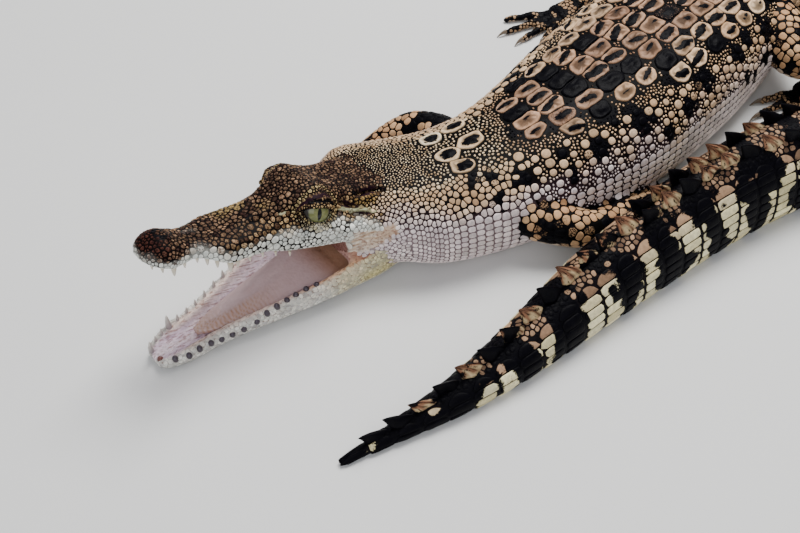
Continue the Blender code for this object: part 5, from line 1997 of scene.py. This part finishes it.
def thrown_darts(rng, wanted):
    """Random places on the skin, more of them where the scales are small."""
    middle = corners.mean(1)
    radius, _ = fill_radius(middle, slice(None))
    weight = np.where(np.isnan(radius), 0.0, triangle_areas / np.nan_to_num(radius, nan=1.0) ** 2)
    count = int(wanted * weight.sum())
    face = rng.choice(len(triangles), count, p=weight / weight.sum())
    a, b = rng.random(count), rng.random(count)
    fold = a + b > 1
    a, b = np.where(fold, 1 - a, a)[:, None], np.where(fold, 1 - b, b)[:, None]
    place = corners[face, 0] * (1 - a - b) + corners[face, 1] * a + corners[face, 2] * b
    return place, unit(skin_normals[triangles[face]].mean(1)), triangle_rows[face], face


DARTS_PER_SCALE = 2.4
LOWEST_DART = 0.0004  # no scales on the side that presses on the floor
rng = np.random.default_rng(17)
dart_place, dart_normal, dart_rows, dart_face = thrown_darts(rng, DARTS_PER_SCALE)
dart_radius, dart_kind = fill_radius(dart_place, dart_face)
usable = ~np.isnan(dart_radius) & (dart_place[:, 2] > LOWEST_DART)
dart_place, dart_normal, dart_rows = dart_place[usable], dart_normal[usable], dart_rows[usable]
dart_radius, dart_kind = dart_radius[usable], dart_kind[usable]
print("darts:", len(dart_place))

# %% [markdown]
# The rows come first, so darts that fall on their scales are cleared. Then each dart that is still
# there becomes a seed and clears those too near to it.

# %% Clearing the darts
dart_tree = tree_of(dart_place)
alive = np.ones(len(dart_place), bool)
SPACING = 0.93  # how much of the two radii two neighbours keep between them


def clear_darts(place, radius, widest):
    for _, index, away in dart_tree.find_range(place, SPACING * (radius + widest)):
        if away < SPACING * (radius + dart_radius[index]):
            alive[index] = False


def clear_oval(place, along, side, half_long, half_wide):
    """Clears the darts that lie in a rounded rectangle, or nearer to it than their own radius."""
    for other, index, _ in dart_tree.find_range(place, max(half_long, half_wide) + 0.0012):
        gap = np.array(other) - place
        room = 0.8 * dart_radius[index]
        x, y = abs(gap @ along) / (half_long + room), abs(gap @ side) / (half_wide + room)
        if x**2.6 + y**2.6 < 1:
            alive[index] = False


row_along, row_side = tangent_axes(seeds)
for shape in zip(seeds.place, row_along, row_side, seeds.half_long, seeds.half_wide):
    clear_oval(*shape)
first_left = []
for index in range(len(dart_place)):
    if alive[index]:
        first_left.append(index)
        clear_darts(dart_place[index], dart_radius[index], dart_radius[index] * 1.5 + 0.0002)
chosen = np.array(first_left)
size = dart_radius[chosen]
stretch = 0.8 + 0.4 * hashed(np.column_stack([chosen, chosen]), 119)
fill = Seeds(dart_place[chosen], dart_normal[chosen], dart_rows[chosen], size * stretch, size / stretch,
             dart_kind[chosen])
seeds = seeds.with_more(fill)
print("seeds in all:", len(seeds.kind), "by kind:", np.bincount(seeds.kind))

# %% [markdown]
# A scale's outline is found by sharing the skin between neighbours. In each direction it reaches its
# own half-size or the middle line to the next seed, whichever comes first, and larger seeds push that
# line away. Scales that stand apart stay round, and crowded ones become rounded polygons with an even
# joint between them.

# %% Outlines of the scales
NEIGHBOURS = 14
# For each kind: corners, how far it may grow past its half-size, joint width, squareness.
OUTLINES = {
    SCUTE: (24, 1.16, 0.0004, 8.0), ROUND: (14, 1.05, 0.00034, 2.5), PLATE: (12, 1.6, 0.00046, 3.0),
    BLOCK: (18, 1.15, 0.00044, 5.0), GRAIN: (8, 1.02, 0.00036, 2.0), CRACKED: (12, 1.75, 0.0005, 2.4),
    SOFT: (10, 1.75, 0.00016, 2.4),
}


def neighbour_table(seeds):
    tree = tree_of(seeds.place)
    found = [tree.find_n(place, NEIGHBOURS + 1)[1:] for place in seeds.place]
    return np.array([[item[1] for item in row] for row in found])


def oval_reach(x, y, half_long, half_wide, power):
    """Distance to the edge of a rounded rectangle in the direction (x, y)."""
    away = np.hypot(x, y) + TINY
    return ((np.abs(x) / away / half_long) ** power + (np.abs(y) / away / half_wide) ** power) ** (-1 / power)


def outlines(me, kind):
    """Directions of the corners of the chosen scales, all of one kind, and the radii there."""
    corners_count, growth, joint, power = OUTLINES[kind]
    along, side = seed_along, seed_side
    other = seed_near[me]
    gap = seeds.place[other] - seeds.place[me][:, None]
    away = np.linalg.norm(gap, axis=2)
    same_side = (seeds.normal[other] * seeds.normal[me][:, None]).sum(2) > 0.0
    x, y = (gap * along[me][:, None]).sum(2), (gap * side[me][:, None]).sum(2)
    mine = oval_reach(x, y, seeds.half_long[me][:, None], seeds.half_wide[me][:, None], power)
    back_x, back_y = -(gap * along[other]).sum(2), -(gap * side[other]).sum(2)
    theirs = oval_reach(back_x, back_y, seeds.half_long[other], seeds.half_wide[other], power)
    line = np.clip((away**2 + mine**2 - theirs**2) / (2 * away), 0.2 * away, 0.85 * away)
    turn = turns(corners_count)
    cos, sin = np.cos(turn), np.sin(turn)
    flat = np.hypot(x, y) + TINY
    lean = (x[:, :, None] * cos + y[:, :, None] * sin) / flat[:, :, None]
    meets = (lean > 0.08) & same_side[:, :, None]
    reach_there = np.where(meets, line[:, :, None] / np.maximum(lean, 0.08), 1.0)
    own = oval_reach(cos[None], sin[None], seeds.half_long[me][:, None] * growth,
                     seeds.half_wide[me][:, None] * growth, power)
    sharp = 20 if kind == SCUTE else 9
    radius = ((reach_there**-sharp).sum(1) + own**-sharp) ** (-1 / sharp)
    return turn, np.maximum(radius - joint / 2, 0.25 * own)


print("corners round a scale of each kind:", [rule[0] for rule in OUTLINES.values()])

# %% [markdown]
# A scale is a stack of rings on its outline. The outermost lies in the joint, under the skin, and the
# others rise to a rounded top. The scutes of the back have a keel, and flat scales lift a little at
# their rear edge.

# %% Shapes of the scales
# Rings of each kind, from the joint inwards: share of the outline, height in metres, and tone.
# Tone 0 is the joint's colour, 1 the rim, 2 the scale itself and 3 its middle.
RINGS = {
    SCUTE: [(1.0, -0.0003, 0), (0.975, 0.00042, 0.5), (0.89, 0.0008, 1), (0.76, 0.0007, 1.5),
            (0.56, 0.00072, 2), (0.28, 0.0009, 2.3)],
    ROUND: [(1.0, -0.0003, 0), (0.95, 0.00028, 0.8), (0.82, 0.00058, 1), (0.6, 0.00066, 2),
            (0.3, 0.00072, 2.4)],
    PLATE: [(1.0, -0.00025, 0), (0.95, 0.00014, 1), (0.78, 0.00028, 2), (0.4, 0.00032, 2)],
    BLOCK: [(1.0, -0.0003, 0), (0.965, 0.0002, 1), (0.84, 0.00036, 2), (0.5, 0.00042, 2),
            (0.22, 0.00044, 2)],
    GRAIN: [(1.0, -0.00025, 0), (0.84, 0.00022, 2)],
    CRACKED: [(1.0, -0.00022, 0), (0.93, 0.00012, 1), (0.7, 0.00026, 2), (0.35, 0.0003, 2.5)],
    SOFT: [(1.0, -0.00018, 0), (0.9, 0.00004, 1), (0.55, 0.00012, 2)],
}
MIDDLE_HEIGHTS = {SCUTE: 0.00105, ROUND: 0.00074, PLATE: 0.00033, BLOCK: 0.00045, GRAIN: 0.00034,
                  CRACKED: 0.00031, SOFT: 0.00014}
# A scale of this size or more has its full height, and smaller ones are lower.
FULL_SIZES = {SCUTE: 0.0048, ROUND: 0.0019, PLATE: 0.0019, BLOCK: 0.0036, GRAIN: 0.0007,
              CRACKED: 0.0011, SOFT: 0.001}
BAKE_HALF = 0.0015  # half the width of a scale's patch on the bake map
KEEL = 0.00075  # extra height of a scute's keel
LAP = {PLATE: 0.00016, BLOCK: 0.00014, ROUND: 0.00008, SCUTE: 0.0002}  # lift of the rear edge


def tones(tint, joint, levels, kind):
    """The colour of each ring of each scale, from the joint to the middle."""
    rim = np.clip(tint * {SCUTE: 1.25, ROUND: 1.15, GRAIN: 1.3}.get(kind, 1.1), 0, 1)
    body = tint * {SCUTE: 0.4, ROUND: 0.84, GRAIN: 1.25}.get(kind, 1.0)
    middle = tint * {SCUTE: 0.16, CRACKED: 1.1, ROUND: 1.12, GRAIN: 1.25}.get(kind, 1.0)
    steps = [joint, rim, body, middle]
    result = []
    for level in levels:
        low = min(int(level), 2)
        result.append(steps[low] + (steps[low + 1] - steps[low]) * (level - low))
    return np.stack(result, 1)


def part_along(points, place, axis):
    """How far the points of each scale lie from its place along its own axis."""
    return ((points - place[:, None]) * axis[:, None]).sum(2)


def ring_heights(kind, size, turn, share, height):
    """How high one ring of each scale stands, with the lap of the rear edge and the keel."""
    reach_x = share * np.cos(turn)
    high = height * size[:, None] + LAP.get(kind, 0.0) * size[:, None] * reach_x * (height > 0)
    if kind == SCUTE and share < 0.9:
        ridge = bell(share * np.sin(turn), 0.22) * smooth_step(0.55 + 0.75 * reach_x)
        high = high + KEEL * size[:, None] * ridge * (1 - share)
    return high


def scale_points(me, kind, turn, radius):
    """Points of each scale: its rings from the joint inwards, its middle and its underside."""
    place, normal, a, b = seeds.place[me], seeds.normal[me], seed_along[me], seed_side[me]
    x, y = radius * np.cos(turn), radius * np.sin(turn)
    rim = place[:, None] + a[:, None] * x[..., None] + b[:, None] * y[..., None]
    foot = np.array([skin_tree.find_nearest(p)[0] for p in rim.reshape(-1, 3)]).reshape(rim.shape)
    drop = np.clip(((foot - rim) * normal[:, None]).sum(2), -0.0025, 0.0012)
    size = (0.5 * (seeds.half_long + seeds.half_wide))[me] / FULL_SIZES[kind]
    size = np.maximum(np.minimum(1.0, size), 0.45)
    rings = []
    for share, height, _ in RINGS[kind]:
        rise = ring_heights(kind, size, turn, share, height) + drop * share**2
        flat = share * (a[:, None] * x[..., None] + b[:, None] * y[..., None])
        rings.append(place[:, None] + flat + normal[:, None] * rise[..., None])
    top = MIDDLE_HEIGHTS[kind] * size + (KEEL * 0.7 * size if kind == SCUTE else 0)
    for level in (top, RINGS[kind][0][1] * size):
        rings.append((place + normal * level[:, None])[:, None])
    points = np.concatenate(rings, 1)
    if kind == SCUTE:
        lumps = rough(points.reshape(-1, 3), 0.0021, 127).reshape(len(me), -1) - 0.5
        lumps[:, : 2 * len(turn)] = 0
        points = points + normal[:, None] * (0.0009 * lumps)[..., None]
    return points


def scale_faces(count, spokes, ring_count):
    """Triangles of each scale: bands between its rings, then the top and the underside."""
    k = np.arange(spokes)
    after = (k + 1) % spokes
    last, middle = (ring_count - 1) * spokes, np.full(spokes, ring_count * spokes)
    faces = []
    for low in range(0, last, spokes):
        high = low + spokes
        faces += [(low + k, low + after, high + after), (low + k, high + after, high + k)]
    faces += [(last + k, last + after, middle), (after, k, middle + 1)]
    faces = np.concatenate([np.stack(three, -1) for three in faces])
    return (faces[None] + (np.arange(count) * (middle[0] + 2))[:, None, None]).reshape(-1, 3)


print("rings of each kind:", [len(rings) for rings in RINGS.values()])

# %% [markdown]
# A scale takes its tint from the place of its seed. Scutes carry a pattern of their own, a black spot
# and a pale loop, and the blocks of the tail are black wherever a band crosses them.

# %% Colours of the scales
def scute_pattern(points, shade, me, tint, wobble):
    """Colours of the scutes, with a pale loop, and how black each is from place to place."""
    x = part_along(points, seeds.place[me], seed_along[me]) / seeds.half_long[me][:, None]
    y = part_along(points, seeds.place[me], seed_side[me]) / seeds.half_wide[me][:, None]
    great = (seeds.rows[me, ALONG] < NECK_END)[:, None]
    wobble = wobble[:, None]
    other = (wobble * 7.3) % 1.0
    slant = y - (wobble - 0.5) * 1.1 * (x + 0.3)
    torn = rough(points.reshape(-1, 3), 0.0016, 131).reshape(x.shape) - 0.5
    size = np.where(great, 0.52, 0.18 + 0.4 * other)
    away = np.hypot(slant * 1.2, (x - 0.3 + 0.5 * other) * 0.6)
    away = np.where(great, np.hypot(y * 0.85, (x - 0.05) * 0.85), away)
    spot = (size - away + 0.45 * torn) / 0.25
    loop = smooth_step((0.13 - np.abs(np.hypot(slant, x * 0.78 - 0.08) - 0.7) + 0.6 * torn) / 0.08)
    pale = np.clip(tint * 1.3 + 0.05, 0, 1)[:, None]
    shade = shade + (pale - shade) * (0.85 * loop)[..., None]
    return shade, np.clip(0.5 + 0.5 * spot, 0, 1)


def scale_colours(points, me, kind, spokes):
    """Tints and marks of the points of each scale."""
    tint, joint, mark, _, _ = painted(seeds.place[me], seeds.rows[me])
    wobble = hashed(np.column_stack([me, me // 7]), 71)
    tint = tint * ((0.5 + 0.7 * wobble) if kind == GRAIN else (0.78 + 0.4 * wobble))[:, None]
    levels = [tone for _, _, tone in RINGS[kind]] + [3 if kind == SCUTE else 2.6]
    colours = tones(tint, joint, levels, kind)
    shade = np.repeat(colours[:, :-1], spokes, axis=1)
    shade = np.concatenate([shade, colours[:, -1:], colours[:, :1]], 1)
    per = points.shape[1]
    marks = np.repeat(mark[:, None], per, 1)
    if kind == SCUTE:
        shade, black = scute_pattern(points, shade, me, tint, wobble)
        marks = np.maximum(marks, black)
    if kind == BLOCK:
        rows = np.repeat(seeds.rows[me], per, axis=0)
        rows[:, ALONG] += part_along(points, seeds.place[me], seed_along[me]).ravel()
        marks = painted(points.reshape(-1, 3), rows)[2].reshape(marks.shape)
    return shade, marks


def scale_shapes(me, kind):
    """Points, triangles, tints, marks and bake places of the chosen scales, all of one kind."""
    turn, radius = outlines(me, kind)
    if kind == SCUTE:
        phase = 6.3 * hashed(np.column_stack([me, me]), 73)[:, None]
        radius = radius * (0.97 + 0.025 * np.sin(2 * turn + phase) + 0.035 * np.sin(5 * turn + 2 * phase))
    points = scale_points(me, kind, turn, radius)
    shade, marks = scale_colours(points, me, kind, len(turn))
    faces = scale_faces(len(me), len(turn), len(RINGS[kind]))
    axes, widest = (seed_along[me], seed_side[me]), radius.max(1)[:, None]
    patch = np.stack([part_along(points, seeds.place[me], axis) / widest for axis in axes], -1)
    bake = bake_place(seeds.rows[me])[:, None] + BAKE_HALF * patch
    return points.reshape(-1, 3), faces, shade.reshape(-1, 3), marks.ravel(), bake.reshape(-1, 2)


print("seeds by kind:", np.bincount(seeds.kind))

# %% [markdown]
# For baking, each scale is a patch as small as its root, laid at that root's place on an unwrap of the
# skin: the distance along the part one way and the turn round it the other.

# %% Places on the bake map
def bake_place(rows):
    region, limb, u, v = rows[:, PART].astype(int), rows[:, LIMB], rows[:, ALONG], rows[:, TURN]
    across = 0.01 + 0.98 * v
    on_body_part = 0.01 + 0.98 * (u + 0.02) / (LENGTH + 0.02)
    on_head = np.where(region == ON_SKULL, 0.01 + 0.48 * u / 1.15, 0.51 + 0.48 * u / 1.15)
    on_leg = 0.01 + 0.98 * (limb % 4 + 0.5 * u * (region == ON_LEG)) / 4
    toes = 0.01 + 0.98 * (limb % 4 + 0.5 + 0.08 * np.floor(limb / 4) + 0.04 * np.minimum(u, 2)) / 4
    along = np.where(region == ON_BODY, on_body_part, np.where(region <= ON_JAW, on_head, on_leg))
    along = np.where(region == ON_FOOT, toes, along)
    return np.column_stack([along, across])


print("the first seed on the map:", bake_place(seeds.rows[:1]).round(3))

# %% [markdown]
# Each seed now gets its directions and its nearest neighbours.

# %% Neighbours of the seeds
seed_along, seed_side = tangent_axes(seeds)
seed_near = neighbour_table(seeds)
print("seeds and neighbours:", seed_near.shape)

# %% [markdown]
# The hide's finish is one material for skin and scales. It lays the black over the tint where the mark
# is high, with a ragged edge, adds fine mottling and freckles, and gives each scale a fine grain.

# %% Finish of the hide
HEAD_TURN = Matrix(SKULL_AXES.tolist()).transposed().to_euler()


def hide_look(name, wet=0.0, freckle=0.5, fleck=(0.3, 0.2, 0.2), cracks=0.0, streaks=0.0):
    look = Look(name)
    tint = look.attribute("tint")
    mark = look.attribute("tint", "Alpha")
    fine = look.noise(1400.0, 4.0, 0.6)
    broad = look.noise(420.0, 4.0, 0.55)
    grain = look.cells(2300.0)
    ragged = look.between(mark + (fine - 0.5) * 0.55, 0.46, 0.56)
    worn = look.mix(broad * 0.7, tint, (0.6, 0.54, 0.52), "MULTIPLY")
    freckles = look.between(fine, 0.58, 0.7)
    worn = look.mix(freckles * freckle, worn, fleck, "MULTIPLY")
    lit = look.between(look.noise(700.0, 3.0), 0.4, 0.75)
    worn = look.mix(lit * 0.8, worn, (1.5, 1.48, 1.44), "MULTIPLY")
    height = fine * 0.8 + grain * 0.6 + broad * 0.5
    if cracks:
        # Short dark creases that wander over the small scales of the crown.
        shift = look.node("ShaderNodeVectorMath", {"operation": "SCALE"}, look.noise(500.0), Scale=0.002)
        moved = look.node("ShaderNodeVectorMath", {"operation": "ADD"}, look.place(), shift)
        edge = look.cells(780.0, "DISTANCE_TO_EDGE", moved)
        crease = look.between(edge, 0.1, 0.0)
        worn = look.mix(crease * cracks, worn, (0.16, 0.11, 0.11), "MULTIPLY")
    if streaks:
        # Long wet creases that run along the head.
        along = look.node("ShaderNodeMapping", {"vector_type": "TEXTURE"}, look.place(),
                          Rotation=HEAD_TURN, Scale=(1 / 130, 1 / 1100, 1 / 1100))
        lines = look.noise(1.0, 4.0, 0.6, along)
        crease = look.between(lines, 0.5, 0.62)
        worn = look.mix(crease * streaks, worn, (0.5, 0.37, 0.34), "MULTIPLY")
        height = height + lines * 2.0
    sheen = look.mix(broad * 0.8, (0.0004, 0.0003, 0.0006), (0.0034, 0.003, 0.006))
    colour = look.mix(ragged, worn, sheen)
    look.finish(
        Base_Color=colour, Roughness=broad * 0.22 + (0.46 - 0.2 * wet) - ragged * 0.1,
        Coat_Weight=0.016 + 0.3 * wet, Coat_Roughness=0.3, Specular_IOR_Level=0.04,
        Normal=look.bump(height, 0.45, 0.00022))
    return look


scaly_look = hide_look("scaly_hide")
crown_look = hide_look("crown_hide", freckle=0.8, cracks=0.75)
jaw_look = hide_look("jaw_hide", freckle=0.75, fleck=(0.36, 0.34, 0.42))
skin_look = hide_look("bare_skin", wet=0.02, freckle=0.12, streaks=0.9)
LOOKS = {"crown_hide": crown_look, "throat_hide": jaw_look, "scaly_hide": scaly_look}
print("finishes of the coat:", sorted(LOOKS))

# %% [markdown]
# The coat is cut into a few pieces by the part of the animal, so that none of them is too heavy.

# %% Coat pieces
TAIL_START, TAIL_MIDDLE = 0.288, 0.47
BELLY_TURN = 0.45
region, s = seeds.rows[:, PART].astype(int), seeds.rows[:, ALONG]
body, soft = region == ON_BODY, seeds.kind == SOFT
trunk = body & (s >= NECK_END) & (s < TAIL_START)
low = np.abs(signed_turn(seeds.rows[:, TURN])) >= BELLY_TURN
COATS = {
    "coat_neck": (body & (s < NECK_END), "scaly_hide"),
    "coat_back": (trunk & ~low, "scaly_hide"),
    "coat_belly": (trunk & low, "scaly_hide"),
    "coat_tail_base": (body & (s >= TAIL_START) & (s < TAIL_MIDDLE), "scaly_hide"),
    "coat_tail_end": (body & (s >= TAIL_MIDDLE), "scaly_hide"),
    "coat_skull": ((region == ON_SKULL) & ~soft, "crown_hide"),
    "coat_lips": ((region == ON_SKULL) & soft, "throat_hide"),
    "coat_jaw": (region == ON_JAW, "throat_hide"),
    "coat_legs": (region >= ON_LEG, "scaly_hide"),
}
coat_total = 0
for name, (members, slot) in COATS.items():
    parts = []
    for kind in RINGS:
        chosen = np.flatnonzero(members & (seeds.kind == kind))
        if len(chosen):
            parts.append(scale_shapes(chosen, kind))
    points, faces = joined([part[:2] for part in parts])
    tints, marks, bake = (np.concatenate(column) for column in list(zip(*parts))[2:])
    mesh = write_mesh(name, points, faces, np.column_stack([tints, marks]), bake)
    add_piece(name, mesh, LOOKS[slot].material, slot)
    coat_total += len(faces)
print("coat:", coat_total, "triangles")

# %% [markdown]
# The skin under the scales shows the colour of the joints. Where it is bare, as in the mouth and in the
# folds by the eyes, it shows its own tint. The crest's flaps take the tail's black bands.

# %% Skin and crest
add_piece("tail_crest", write_mesh("tail_crest", *joined(flap_parts), np.concatenate(flap_tints)),
          scaly_look.material, "scaly_hide")
bare = skin_bare[:, None]
add_tints(skin_mesh, np.column_stack([skin_joint * (1 - bare) + skin_tint * bare, skin_mark]))
skin_nodes = [name for name in frame["nodes"] if not name.startswith(("eye", "claw", "tongue"))]
add_piece("skin", skin_mesh, skin_look.material, "scaly_hide", skin_nodes)
print("nodes that the skin stands for:", len(skin_nodes))

# %% Floor
floor = bpy.data.objects.new("floor", bpy.data.meshes.new("floor"))
floor.data.from_pydata([(-3, -3, 0), (3, -3, 0), (3, 3, 0), (-3, 3, 0)], [], [(0, 1, 2, 3)])
bpy.context.scene.collection.objects.link(floor)
floor_look = Look("pale_floor")
cloudy = floor_look.noise(3.0, 2.0)
floor_look.finish(Base_Color=floor_look.mix(cloudy, (0.74, 0.74, 0.73), (0.78, 0.78, 0.77)),
                  Roughness=cloudy * 0.1 + 0.6, Specular_IOR_Level=0.2)
floor.data.materials.append(floor_look.material)
floor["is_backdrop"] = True
print("floor:", [round(v, 2) for v in floor.dimensions])

# %% [markdown]
# The boxes of the solids and of the dressed model are set side by side, in metres, as the cell's last value.

# %% Sizes and the end
boxes = {"cad": CAD_BOX, "visual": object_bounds()}
{key: [list(corner) for corner in pair] for key, pair in boxes.items()}
